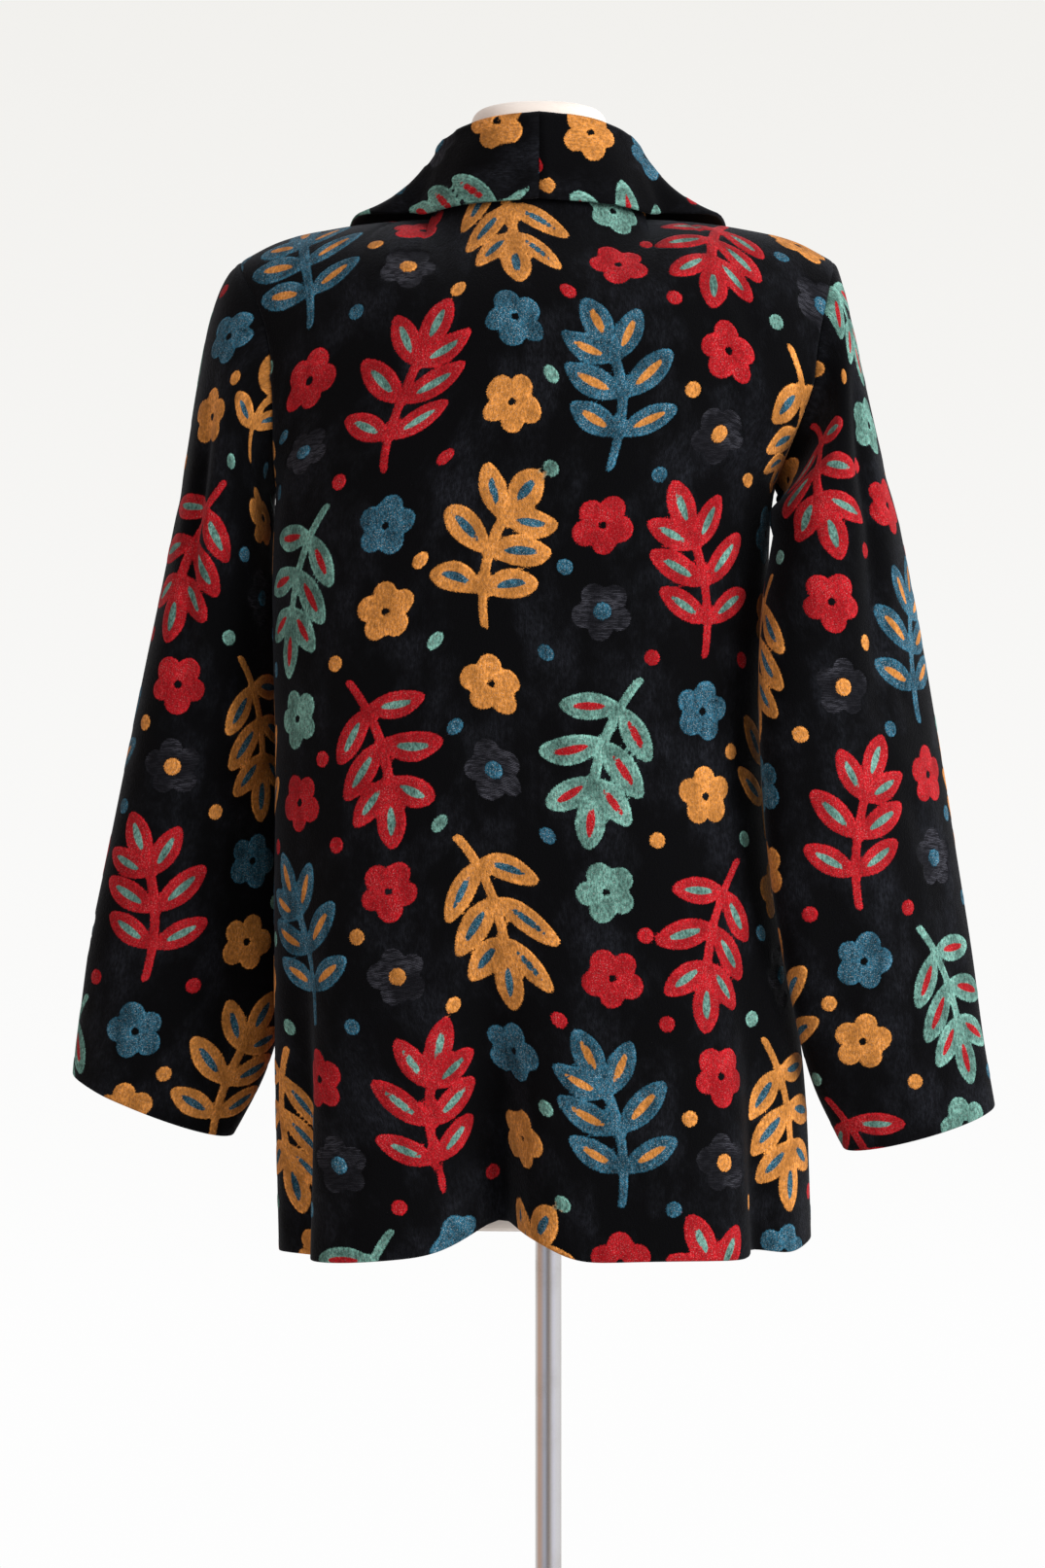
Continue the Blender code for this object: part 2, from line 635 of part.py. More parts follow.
class Panel:
    """A cloth panel: a grid of points on its outer face, with normals that point outwards."""

    EDGES = {
        "first_row": np.s_[0],
        "last_row": np.s_[-1],
        "first_column": np.s_[:, 0],
        "last_column": np.s_[:, -1],
    }
    NEXT_IN = {
        "first_row": np.s_[1],
        "last_row": np.s_[-2],
        "first_column": np.s_[:, 1],
        "last_column": np.s_[:, -2],
    }

    def __init__(self, name, points, outward, seams, closed_across=False):
        self.name = name
        self.points = points
        self.normals = outward * surface_normal(points, closed_across)
        self.seams = seams
        self.closed_across = closed_across
        self.drawn = np.zeros_like(points)

    def inward(self, name):
        """Directions into the panel from an edge, along its face and square to the edge."""
        edge = self.points[self.EDGES[name]]
        if self.closed_across:
            tangent = np.roll(edge, -1, axis=0) - np.roll(edge, 1, axis=0)
        else:
            tangent = np.gradient(edge, axis=0)
        square = unit(np.cross(self.normals[self.EDGES[name]], tangent))
        away = self.points[self.NEXT_IN[name]] - edge
        return square * np.sign(np.sum(square * away, axis=-1, keepdims=True))

    def draw_edge(self, name, index, move):
        """Draws a point, or all points, of an edge in."""
        self.drawn[self.EDGES[name]][index] += move

    def faces(self):
        """The outer and the inner face of the wall."""
        outer = self.points + self.drawn
        return outer, outer - CLOTH_WALL * self.normals


def join_seams(panels):
    """Gives points that meet at a seam one normal, and draws their panels a seam gap apart."""
    meeting = {}
    for panel in panels:
        for name in panel.seams:
            inward = panel.inward(name)
            for index, point in enumerate(panel.points[panel.EDGES[name]]):
                place = tuple(np.round(point, 5))
                meeting.setdefault(place, []).append((panel, name, index, inward[index]))
    shared = []
    for members in meeting.values():
        ones = {member[0].name: member for member in members}
        if len(ones) < 2:
            continue
        for panel, name, index, inward in members:
            spread = max(
                np.linalg.norm(inward - other[3])
                for other in members
                if other[0] is not panel
            )
            reach = min(SEAM_GAP / max(spread, 0.01), WIDEST_DRAW)
            panel.draw_edge(name, index, inward * reach)
        body, tube = np.zeros(3), np.zeros(3)
        for panel, name, index, _ in ones.values():
            normal = panel.normals[panel.EDGES[name]][index]
            if panel.closed_across:
                tube = tube + normal
            else:
                body = body + normal
        shared.append((members, unit(unit(body) + unit(tube))))
    for members, normal in shared:
        for panel, name, index, _ in members:
            panel.normals[panel.EDGES[name]][index] = normal


def finish_mesh(name, verts, faces, material, collection, smooth=True):
    """A closed mesh object with its faces pointing out."""
    mesh = bpy.data.meshes.new(name)
    mesh.from_pydata([tuple(v) for v in verts], [], faces)
    cleaned = bmesh.new()
    cleaned.from_mesh(mesh)
    bmesh.ops.recalc_face_normals(cleaned, faces=cleaned.faces)
    cleaned.to_mesh(mesh)
    cleaned.free()
    if smooth:
        mesh.shade_smooth()
        mesh.set_sharp_from_angle(angle=math.radians(50))
    mesh.materials.append(material)
    piece = bpy.data.objects.new(name, mesh)
    collection.objects.link(piece)
    return piece


def split_rim(verts, ring):
    """Two triangles for a quad of a rim, cut at its shorter diagonal, so that rims agree."""
    first, second, third, fourth = ring
    one = np.linalg.norm(verts[first] - verts[third])
    other = np.linalg.norm(verts[second] - verts[fourth])
    if one < other:
        return [[first, second, third], [first, third, fourth]]
    return [[first, second, fourth], [second, third, fourth]]


def cloth_wall(name, outer, inner, material, collection, closed_across=False):
    """A cloth panel as a loft between its two faces, with its rims closed."""
    rows, columns = outer.shape[:2]
    count = rows * columns
    verts = np.concatenate([outer.reshape(-1, 3), inner.reshape(-1, 3)])

    def corner(row, column, face):
        return face * count + row * columns + column % columns

    spans = columns if closed_across else columns - 1
    faces = []
    for row in range(rows - 1):
        for column in range(spans):
            ring = [(row, column), (row, column + 1), (row + 1, column + 1), (row + 1, column)]
            faces.append([corner(r, c, 0) for r, c in ring])
            faces.append([corner(r, c, 1) for r, c in reversed(ring)])
    rims = [((row, c), (row, c + 1)) for row in (0, rows - 1) for c in range(spans)]
    if not closed_across:
        rims += [((r, c), (r + 1, c)) for c in (0, columns - 1) for r in range(rows - 1)]
    for start, end in rims:
        ring = [corner(*start, 0), corner(*start, 1), corner(*end, 1), corner(*end, 0)]
        faces += split_rim(verts, ring)
    return finish_mesh(name, verts, faces, material, collection)


def panel_rows():
    """Row places from the hem to the top, with the same rows on every panel."""
    lower = np.linspace(0, 1, LOWER_ROWS + 1)
    armhole_rows = 1 + np.linspace(0, 1, ARMHOLE_ROWS + 1)[1:]
    yoke = 2 + np.linspace(0, 1, YOKE_ROWS + 1)[1:]
    return np.concatenate([lower, armhole_rows, yoke])


def shoulder_places():
    """Places along the shoulder seam on the back, from the neck point to the tip."""
    return np.linspace(NECK_SHARE, 1, SHOULDER_COLUMNS_CUT + 1)


def armhole_turns():
    """Places round the armhole that fall on the panels' rows."""
    up = (panel_rows()[LOWER_ROWS:] - 1) / 2
    return np.concatenate([up, 2 - up[-2:0:-1]])


def coat_panels():
    """The back, the fronts and the sleeves as panels whose points meet at the seams."""
    rows = panel_rows()[:, None]
    half = np.concatenate([np.linspace(0, NECK_SHARE, NECK_COLUMNS + 1)[:-1], shoulder_places()])
    columns = np.concatenate([-half[:0:-1], half])[None, :]
    back = Panel(
        "back", lean_and_place(back_surface(rows, columns)), 1.0,
        ("last_row", "first_column", "last_column"),
    )
    front_columns = ((1 - shoulder_places()[::-1]) / (1 - NECK_SHARE))[None, :]
    along = np.concatenate(
        [np.linspace(0, 1, CAP_ROWS + 1), 1 + np.linspace(0, 1, SLEEVE_ROWS + 1)[1:]]
    )[:, None]
    panels = [back]
    for label, side, sections, head, arrives in (
        ("right", 1.0, RIGHT_SLEEVE, RIGHT_SLEEVE_HEAD, RIGHT_CAP_ARRIVES),
        ("left", -1.0, LEFT_SLEEVE, LEFT_SLEEVE_HEAD, LEFT_CAP_ARRIVES),
    ):
        front = lean_and_place(front_surface(rows, front_columns, side))
        sleeve = sleeve_surface(along, armhole_turns()[None, :], side, sections, head, arrives)
        panels.append(Panel("front_" + label, front, side, ("last_row", "first_column")))
        panels.append(Panel("sleeve_" + label, sleeve, -side, ("first_row",), True))
    return panels


def build_coat(velvet, collection):
    """The back, two fronts, two sleeves and the two halves of the shawl collar."""
    panels = coat_panels()
    join_seams(panels)
    panels += [collar_half("right", 1.0), collar_half("left", -1.0)]
    for panel in panels:
        outer, inner = panel.faces()
        cloth_wall(panel.name, outer, inner, velvet, collection, panel.closed_across)


def collar_half(label, side):
    """One half of the shawl collar, clear of the other half at the centre back."""
    neck = np.linspace(0, NECK_SHARE, NECK_COLUMNS + 1)
    rows = panel_rows()[::-1]
    edge = NECK_SHARE + 3.0 - rows[(rows < 3.0) & (rows > BREAK_ROW)]
    stations = np.concatenate([neck, edge])
    collar = Panel(
        "collar_" + label, collar_surface(side, stations, np.array(FALL_KNOTS)), side, ()
    )
    collar.normals[:, 0, 0] = 0.0
    collar.normals[:, 0] = unit(collar.normals[:, 0])
    collar.draw_edge("first_column", np.s_[:], np.array([side * SEAM_GAP / 2, 0.0, 0.0]))
    collar.draw_edge("first_row", np.s_[:], collar.inward("first_row") * COLLAR_SEAT_GAP)
    return collar


def form_rings():
    """The dress form's sections from its bottom to the top of its neck."""
    shoulders = named(FORM_SHOULDER_COLUMNS, FORM_SHOULDERS)
    under_cloth = CLOTH_WALL + SEAT_GAP + shoulders["drop"]
    height = shoulder_height(shoulders["half_width"]) - under_cloth
    middle = [height] + [shoulders[n] for n in FORM_COLUMNS[1:]]
    rings = np.concatenate([FORM_LOWER, np.stack(middle, axis=-1), FORM_NECK])
    return named(FORM_COLUMNS, rings)


def build_form(linen, collection):
    """A closed loft through the form's sections, flat below and softly domed at the neck."""
    ring = {name: values[:, None] for name, values in form_rings().items()}
    angles = 2 * np.pi * np.arange(FORM_SIDES)[None, :] / FORM_SIDES
    depth = np.where(np.cos(angles) > 0, ring["back"], ring["front"])
    depth = depth * (ring["wing"] + (1 - ring["wing"]) * np.cos(angles) ** 4)
    swell = 1 + FORM_CORNER_PUSH * np.sin(2 * angles) ** 2
    at_top = ease((ring["height"] - FORM_LEAN_FROM_Z) / FORM_LEAN_OVER)
    lean = named(LEAN_COLUMNS, LEAN)
    shift = at_top * smooth_through(lean["height"], lean["shift"], ring["height"])
    to_tip = (ring["half_width"] - NECK_HALF_WIDTH) / (SHOULDER_X - NECK_HALF_WIDTH)
    seam_y = NECK_POINT_Y + (SHOULDER_TIP_Y - NECK_POINT_Y) * np.clip(to_tip, 0, 1)
    points = np.stack(
        [
            COAT_X + shift + ring["half_width"] * np.sin(angles) * swell,
            seam_y * at_top - depth * np.cos(angles) * swell,
            ring["height"] + 0 * angles,
        ],
        axis=-1,
    )
    rings = len(points)
    faces = [list(range(FORM_SIDES))]
    for row in range(rings - 1):
        for side in range(FORM_SIDES):
            after = (side + 1) % FORM_SIDES
            low, high = row * FORM_SIDES, (row + 1) * FORM_SIDES
            faces.append([low + side, low + after, high + after, high + side])
    faces.append([(rings - 1) * FORM_SIDES + i for i in range(FORM_SIDES)])
    finish_mesh("form_torso", points.reshape(-1, 3), faces, linen, collection)


def cylinder(name, radius, bottom, top, material, collection):
    """A capped cylinder on the pole's axis."""
    solid = bmesh.new()
    bmesh.ops.create_cone(
        solid, cap_ends=True, segments=ROUND_SIDES, radius1=radius, radius2=radius,
        depth=top - bottom,
    )
    mesh = bpy.data.meshes.new(name)
    solid.to_mesh(mesh)
    solid.free()
    mesh.shade_smooth()
    mesh.set_sharp_from_angle(angle=math.radians(40))
    mesh.materials.append(material)
    piece = bpy.data.objects.new(name, mesh)
    piece.location = (0.0, 0.0, (bottom + top) / 2)
    collection.objects.link(piece)
    return piece


def build_stand(steel, enamel, collection):
    """Round base plate, hub, and the pole that carries the form."""
    plate = cylinder("stand_base", BASE_RADIUS, 0.0, BASE_THICKNESS, enamel, collection)
    rounding = plate.modifiers.new("rounded_edge", "BEVEL")
    rounding.width = BASE_EDGE
    rounding.segments = 2
    rounding.limit_method = "ANGLE"
    hub_bottom = BASE_THICKNESS + SEAM_GAP
    hub_top = hub_bottom + HUB_HEIGHT
    cylinder("stand_hub", HUB_RADIUS, hub_bottom, hub_top, steel, collection)
    cylinder(
        "stand_pole", POLE_RADIUS, hub_top + SEAM_GAP, FORM_BOTTOM_Z - SEAM_GAP,
        steel, collection,
    )


def make_material(name, colour, roughness, metallic):
    """A plain Principled material."""
    material = bpy.data.materials.new(name)
    material.use_nodes = True
    shader = material.node_tree.nodes["Principled BSDF"]
    shader.inputs["Base Color"].default_value = (*colour, 1.0)
    shader.inputs["Roughness"].default_value = roughness
    shader.inputs["Metallic"].default_value = metallic
    return material


def main():
    """Clears the scene and builds the coat, the form and the stand."""
    for old in list(bpy.data.objects):
        bpy.data.objects.remove(old, do_unlink=True)
    collection = bpy.data.collections.new("car_coat_on_dress_form")
    bpy.context.scene.collection.children.link(collection)
    velvet = make_material("velvet", *BLACK_VELVET)
    linen = make_material("linen", *LINEN)
    steel = make_material("polished_steel", *POLISHED_STEEL)
    enamel = make_material("grey_enamel", *GREY_ENAMEL)
    build_coat(velvet, collection)
    build_form(linen, collection)
    build_stand(steel, enamel, collection)


main()
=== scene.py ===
"""Hip-length car coat of patterned cut velvet on a limbless dress form and pole stand, dressed to be seen.

Metres, +Z up, the origin on the floor under the pole. The coat's back faces -Y, its front +Y, and its
right side (the wearer's right) is +X. Every cloth piece is a wall worked out from the same sections as
the solid that it replaces, but for two of the right sleeve's, and cut finely enough to carry its folds,
seams, darts and raised pile.
"""

import logging
import math
from dataclasses import dataclass, field
from enum import Enum
from functools import cached_property, partial
from typing import Callable

import bpy
import numpy as np
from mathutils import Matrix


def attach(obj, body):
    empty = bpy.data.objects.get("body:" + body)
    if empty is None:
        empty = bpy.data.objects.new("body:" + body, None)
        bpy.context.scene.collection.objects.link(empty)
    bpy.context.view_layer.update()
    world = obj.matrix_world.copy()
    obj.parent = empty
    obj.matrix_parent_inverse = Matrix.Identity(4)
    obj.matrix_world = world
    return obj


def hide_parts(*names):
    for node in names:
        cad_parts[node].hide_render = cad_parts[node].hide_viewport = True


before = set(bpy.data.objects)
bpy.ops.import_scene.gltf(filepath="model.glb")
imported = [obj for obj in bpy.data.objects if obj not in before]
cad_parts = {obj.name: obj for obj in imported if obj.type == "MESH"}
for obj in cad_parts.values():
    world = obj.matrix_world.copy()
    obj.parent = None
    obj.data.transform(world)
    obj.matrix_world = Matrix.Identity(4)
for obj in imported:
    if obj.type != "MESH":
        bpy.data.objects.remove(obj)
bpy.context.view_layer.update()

LOG = logging.getLogger("car_coat")
Array = np.ndarray
Pair = tuple[float, float]
Point = tuple[float, float, float]
Colour = tuple[float, float, float]


class Side(Enum):
    """The wearer's right or left, as the sign of x."""

    RIGHT = 1.0
    LEFT = -1.0

    @property
    def label(self) -> str:
        """The side as a node's name has it."""
        return self.name.lower()


class Edge(Enum):
    """An edge of a cloth grid, as the slice that picks it."""

    FIRST_ROW = (0, slice(None))
    LAST_ROW = (-1, slice(None))
    FIRST_COLUMN = (slice(None), 0)
    LAST_COLUMN = (slice(None), -1)


class Hue(Enum):
    """The dyes of the figured pile: linear base colours, and how strongly the painted sheen and shade of
    the nap, mixed with its random tone, vary them.
    """

    GOLD = (0.430, 0.166, 0.033, 0.60)
    RED = (0.290, 0.0065, 0.0100, 0.50)
    TEAL = (0.083, 0.184, 0.150, 0.95)
    BLUE = (0.0138, 0.063, 0.096, 1.25)


# Sizes of the cloth and of its seams
CLOTH_WALL = 0.003
SEAM_GAP = 0.0001
COLLAR_HALVES_GAP = 0.00002
SEAM_DIP = 0.0011
SEAM_DIP_WIDTH = 0.0050
EDGE_RADIUS = 0.0018
EDGE_RIM = 0.0003
COLLAR_SEAT_GAP = 0.0012
RELIEF_FADE = 0.010

# How far the figured pile stands up and the voided blossoms sink, and the width of each slope
PILE_RISE, PILE_SLOPE = 0.0003, 0.0016
VOID_DEPTH, VOID_SLOPE = 0.0009, 0.0024

# The form stands 7 mm off the middle of its pole, and the coat with it
COAT_X = -0.0070

# Main heights
HEM_Z = 0.669
UNDERARM_Z = 1.213
BLADE_Z = 1.300
NECK_POINT_Z = 1.409
NAPE_Z = 1.418
BREAK_Z = 1.030
BREAK_ROW = 0.66

# Neckline, shoulder seam and armhole
NECK_HALF_WIDTH = 0.078
NECK_BACK_DEPTH = 0.056
NECK_POINT_Y = -0.004
SHOULDER_X = 0.214
SHOULDER_TIP_Y = -0.008
NECK_SHARE = 0.40
UNDERARM = (0.180, 0.0, UNDERARM_Z)
BACK_ARMHOLE_BEND = (0.180, -0.060, 1.220)
BACK_ARMHOLE_MID = (0.192, -0.064, 1.285)
FRONT_ARMHOLE_BEND = (0.178, 0.056, 1.220)
FRONT_ARMHOLE_MID = (0.184, 0.060, 1.285)
BACK_ARC_DEG = 60.0
FRONT_ARC_DEG = 66.0
CORNER_PUSH = 0.07
SLOPE_STEP = 0.004

# Headings (x, y, z) of the yoke's curves where they leave the blades and where they reach the
# top, with the share of their length that they hold them; x is away from the middle
BACK_YOKE_LEAVES = (0.0, 0.03, 1.0)
BACK_YOKE_AT_NAPE = (0.0, 0.42, 0.91)
BACK_YOKE_AT_SHOULDER = (0.0, 0.97, 0.25)
BACK_YOKE_HOLDS = (0.42, 0.40)
BACK_YOKE_TURNS = (0.15, 0.35)
FRONT_YOKE_LEAVES_ARMHOLE = (0.0, -0.12, 1.0)
FRONT_YOKE_LEAVES_EDGE = (0.0, -0.24, 1.0)
FRONT_YOKE_AT_TIP = (0.0, -0.95, 0.26)
FRONT_YOKE_AT_NECK = (0.10, -0.95, 0.38)
FRONT_YOKE_HOLDS = (0.40, 0.38)

# The same for the sleeve's cap, under the arm and over the shoulder
CAP_LEAVES_UNDERARM = (0.62, 0.0, -0.78)
CAP_LEAVES_SHOULDER = (0.80, -0.25, -0.60)
CAP_ARRIVES = {Side.RIGHT: (-0.27, 0.0, 1.0), Side.LEFT: (-0.20, 0.0, 1.0)}
CAP_HOLDS = (0.34, 0.50)

# How much lower the cuff hangs behind than in front, as half of the difference
CUFF_DIP = 0.0045

# A stand of this height holds the collar's fall fully off the panel
UPRIGHT_STAND = 0.030
STAND_LEANS_IN = 0.30
STAND_LEANS_BACK = -0.12
STAND_TURNS = 0.30

BODY_COLUMNS = ("height", "half_width", "back", "front", "opening")
BODY_SECTIONS = (
    (HEM_Z, 0.1905, 0.140, 0.150, 0.016),
    (0.800, 0.1895, 0.134, 0.149, 0.014),
    (0.930, 0.1815, 0.128, 0.147, 0.011),
    (BREAK_Z, 0.177, 0.123, 0.144, 0.010),
    (1.120, 0.179, 0.121, 0.142, 0.018),
    (UNDERARM_Z, 0.180, 0.123, 0.134, 0.031),
    (BLADE_Z, 0.190, 0.122, 0.112, 0.046),
)

SHOULDER_COLUMNS = ("x", "height")
SHOULDER_LINE = (
    (NECK_HALF_WIDTH, NECK_POINT_Z),
    (0.110, 1.4065),
    (0.146, 1.4015),
    (0.190, 1.3900),
    (SHOULDER_X, 1.3770),
)

# How far the hanging coat leans to its right at each height, less so at its front
FRONT_LEAN_SHARE = 0.35
FRONT_LEAN_DEPTH = 0.10
LEAN_COLUMNS = ("height", "shift")
LEAN = (
    (HEM_Z, 0.0015),
    (0.800, -0.0020),
    (0.930, -0.0100),
    (1.100, -0.0135),
    (UNDERARM_Z, -0.0095),
    (1.285, 0.0025),
    (1.330, 0.0025),
    (1.370, -0.0010),
    (1.420, 0.0000),
)

# Girth runs in degrees from the centre back, + to the coat's right, 180 at the front.
# Depth is outwards at the hem, drift is degrees of girth for each metre above it.
FOLD_TAPER = 1.3
FOLD_COLUMNS = ("girth", "drift", "half_width", "depth", "top", "lift")
FOLDS = (
    (-11.5, 8.0, 8.2, -0.048, 0.98, 0.020),
    (-20.0, 0.0, 18.0, -0.007, 1.08, 0.0065),
    (-1.0, 2.0, 7.0, 0.0, 1.00, 0.009),
    (-94.0, 0.0, 16.0, 0.0, 1.08, -0.007),
    (96.0, 0.0, 12.0, 0.0, 1.08, 0.007),
    (24.0, 0.0, 26.0, 0.0, 1.08, 0.0055),
    (-43.0, 10.0, 13.0, 0.009, 1.10, 0.0),
    (34.0, -6.0, 16.0, 0.008, 1.10, 0.0),
    (-61.0, 30.0, 7.0, -0.022, 1.02, -0.002),
    (52.0, -18.0, 6.5, -0.017, 1.00, 0.004),
    (76.0, 0.0, 11.0, 0.005, 1.06, 0.006),
    (-98.0, 0.0, 13.0, -0.010, 1.16, 0.0),
    (104.0, 0.0, 9.0, -0.016, 1.06, 0.0),
    (124.0, 6.0, 10.0, 0.010, 1.08, 0.0),
    (144.0, 10.0, 8.0, -0.018, 1.04, 0.002),
    (-126.0, 0.0, 10.0, 0.010, 1.08, 0.0),
    (-147.0, -8.0, 8.5, -0.020, 1.05, 0.002),
)

# Sleeve sections, from the upper arm to the cuff; x is measured away from the coat's middle.
# Slope raises and skew brings forward what lies further out; head is the fullness of the cap. At
# 1.130 and 1.080 the right sleeve lies up to 3 mm further in than its solid, closer to the body.
SLEEVE_COLUMNS = ("height", "outer", "inner", "middle_y", "half_depth", "slope", "skew")
SLEEVE_HEAD = {Side.RIGHT: 0.045, Side.LEFT: 0.18}
SLEEVE_SECTIONS = {
    Side.RIGHT: (
        (1.180, 0.2575, 0.1655, -0.042, 0.066, 0.10, 0.34),
        (1.130, 0.2665, 0.1560, -0.054, 0.062, 0.12, 0.42),
        (1.080, 0.2765, 0.1530, -0.055, 0.056, 0.15, 0.52),
        (1.000, 0.2900, 0.1560, -0.052, 0.050, 0.18, 0.55),
        (0.930, 0.3000, 0.1640, -0.050, 0.045, 0.20, 0.50),
        (0.860, 0.3110, 0.1780, -0.042, 0.041, 0.22, 0.40),
        (0.800, 0.3195, 0.1950, -0.032, 0.038, 0.24, 0.25),
        (0.754, 0.3280, 0.2180, -0.022, 0.035, 0.27, 0.12),
    ),
    Side.LEFT: (
        (1.180, 0.2655, 0.1930, 0.018, 0.072, 0.10, -0.10),
        (1.130, 0.2755, 0.1910, 0.028, 0.072, 0.14, -0.28),
        (1.080, 0.2855, 0.1885, 0.032, 0.068, 0.16, -0.38),
        (1.000, 0.3000, 0.1860, 0.032, 0.060, 0.20, -0.40),
        (0.930, 0.3130, 0.1860, 0.032, 0.053, 0.24, -0.35),
        (0.860, 0.3265, 0.1870, 0.028, 0.046, 0.30, -0.20),
        (0.810, 0.3340, 0.2010, 0.025, 0.041, 0.34, -0.10),
        (0.766, 0.3405, 0.2230, 0.022, 0.037, 0.38, 0.00),
    ),
}

# Creases and puffs of the empty sleeves. Round is 0 under the arm, 0.5 at the back, 1 outside,
# 1.5 at the front; along is 0 at the armhole, 1 at the upper arm and 2 at the cuff.
CREASE_COLUMNS = ("round", "drift", "half_width", "depth", "start", "end")
CREASES = (
    (0.74, -0.14, 0.060, -0.009, 0.35, 1.55),
    (1.42, -0.05, 0.090, -0.006, 0.60, 1.90),
    (0.30, 0.05, 0.100, -0.005, 1.20, 2.10),
    (1.10, 0.00, 0.120, 0.003, 1.20, 2.10),
)

# Collar sections from the centre back to the break. Along is 0 to 0.4 round the back neck, and
# past that 3.4 less it is the row of the front edge. The edge is a place on the panel: row 0 is the
# hem, 1 the underarm, 2 the blades, 3 the top; side is 0 at the centre back and 1 at the armhole
# on the back, and 0 at the armhole and 1 at the front edge on the front.
COLLAR_COLUMNS = ("along", "edge_row", "edge_side", "stand", "roll", "bow", "lift")
COLLAR_BACK = (
    (0.00, 2.930, 0.000, 0.0483, 0.0040, 0.0016, 0.006),
    (0.10, 2.930, 0.170, 0.0466, 0.0040, 0.0014, 0.006),
    (0.20, 2.925, 0.330, 0.0462, 0.0040, 0.0006, 0.006),
    (0.30, 2.925, 0.460, 0.0446, 0.0040, -0.0010, 0.006),
    (0.37, 2.960, 0.560, 0.0411, 0.0040, -0.0025, 0.006),
)
COLLAR_FRONT = (
    (0.43, 3.00, 0.630, 0.0360, 0.0040, -0.0040, 0.006),
    (0.55, 2.84, 0.540, 0.0260, 0.0038, -0.0020, 0.006),
    (0.74, 2.62, 0.430, 0.0160, 0.0034, 0.0000, 0.006),
    (1.00, 2.33, 0.340, 0.0080, 0.0030, 0.0010, 0.006),
    (1.30, 2.02, 0.290, 0.0045, 0.0028, 0.0010, 0.006),
    (1.70, 1.62, 0.300, 0.0035, 0.0026, 0.0010, 0.006),
    (2.15, 1.18, 0.360, 0.0030, 0.0026, 0.0010, 0.006),
    (2.42, 0.93, 0.460, 0.0030, 0.0026, 0.0010, 0.006),
    (2.56, 0.79, 0.640, 0.0030, 0.0026, 0.0005, 0.006),
    (2.67, 0.69, 0.830, 0.0030, 0.0026, 0.0002, 0.006),
    (2.74, 0.64, 0.955, 0.0030, 0.0026, 0.0000, 0.006),
)

# Places of a collar section's points, from its root over its roll to its edge
STAND_END, ROLL_END = 0.40, 0.52
SECTION_PLACES = (0.0, 0.22, STAND_END, 0.46, ROLL_END, 0.64, 0.76, 0.88, 1.0)
# How far the roll's end lies from the root towards the edge, measured along the panel
ROLL_REACH = 0.1
# Places along the fall, and how far it bows there
FALL_BOW = ((0.25, 0.8), (0.50, 1.0), (0.75, 0.6))

# The form follows the coat's lean only at its shoulders
FORM_BOTTOM_Z = 0.6855
FORM_LEAN_FROM_Z = 1.300
FORM_LEAN_OVER = 0.060
FORM_CORNER_PUSH = 0.04

# Wing is the share of a section's depth that is left towards its two ends
FORM_COLUMNS = ("height", "half_width", "back", "front", "wing")
FORM_RINGS = (
    (FORM_BOTTOM_Z, 0.146, 0.068, 0.078, 1.0),
    (0.694, 0.152, 0.074, 0.084, 1.0),
    (0.740, 0.156, 0.082, 0.090, 1.0),
    (0.800, 0.158, 0.087, 0.092, 1.0),
    (0.880, 0.148, 0.085, 0.088, 1.0),
    (0.940, 0.130, 0.078, 0.082, 1.0),
    (1.000, 0.119, 0.072, 0.078, 1.0),
    (1.060, 0.126, 0.080, 0.088, 1.0),
    (1.120, 0.138, 0.090, 0.104, 1.0),
    (1.175, 0.146, 0.096, 0.114, 1.0),
    (1.230, 0.150, 0.098, 0.104, 1.0),
    (1.280, 0.159, 0.096, 0.084, 0.95),
    (1.325, 0.172, 0.077, 0.061, 0.80),
    (1.355, 0.177, 0.055, 0.047, 0.45),
    (1.3810, 0.178, 0.034, 0.035, 0.14),
    (1.3915, 0.156, 0.035, 0.036, 0.16),
    (1.3935, 0.122, 0.036, 0.037, 0.20),
    (1.3955, 0.090, 0.038, 0.038, 0.30),
    (1.4040, 0.062, 0.041, 0.041, 1.0),
    (1.4160, 0.054, 0.042, 0.045, 1.0),
    (1.4320, 0.0505, 0.044, 0.048, 1.0),
    (1.4600, 0.0490, 0.0450, 0.0490, 1.0),
    (1.4760, 0.0488, 0.0450, 0.0490, 1.0),
    (1.4835, 0.0450, 0.0410, 0.0455, 1.0),
    (1.4870, 0.0360, 0.0320, 0.0365, 1.0),
)

# How finely the cloth is cut: steps up the panels, round the neck and along the shoulder
LOWER_STEPS = 238
ARMHOLE_STEPS = 44
YOKE_STEPS = 60
NECK_STEPS = 30
SHOULDER_STEPS = 64
CAP_STEPS = 60
SLEEVE_STEPS = 188
STAND_STEPS, ROLL_STEPS, FALL_STEPS = 20, 10, 48
# Extra lines just inside a free edge, as shares of the first step
EDGE_LINES = (0.22, 0.55)


def named(columns: tuple[str, ...], rows: tuple) -> dict[str, Array]:
    """A table's columns as arrays, under their names.

    Args:
        columns: the columns' names.
        rows: the table's rows.

    Returns:
        Each column as an array.
    """
    return dict(zip(columns, np.array(rows, float).T))


def between(values: Array, slopes: Array, index: Array, step: Array, share: Array) -> Array:
    """Cubics from one value to the next that leave and arrive with given slopes.

    Args:
        values: one value or vector a key.
        slopes: the curve's slope at each key.
        index: the key at which each place's cubic starts.
        step: how far it is to the next key.
        share: how far along its cubic each place lies, 0 to 1.

    Returns:
        The curve's value at each place.
    """
    rise = share * share * (3 - 2 * share)
    return (
        values[index] * (1 - rise)
        + values[index + 1] * rise
        + slopes[index] * step * share * (1 - share) ** 2
        - slopes[index + 1] * step * share**2 * (1 - share)
    )


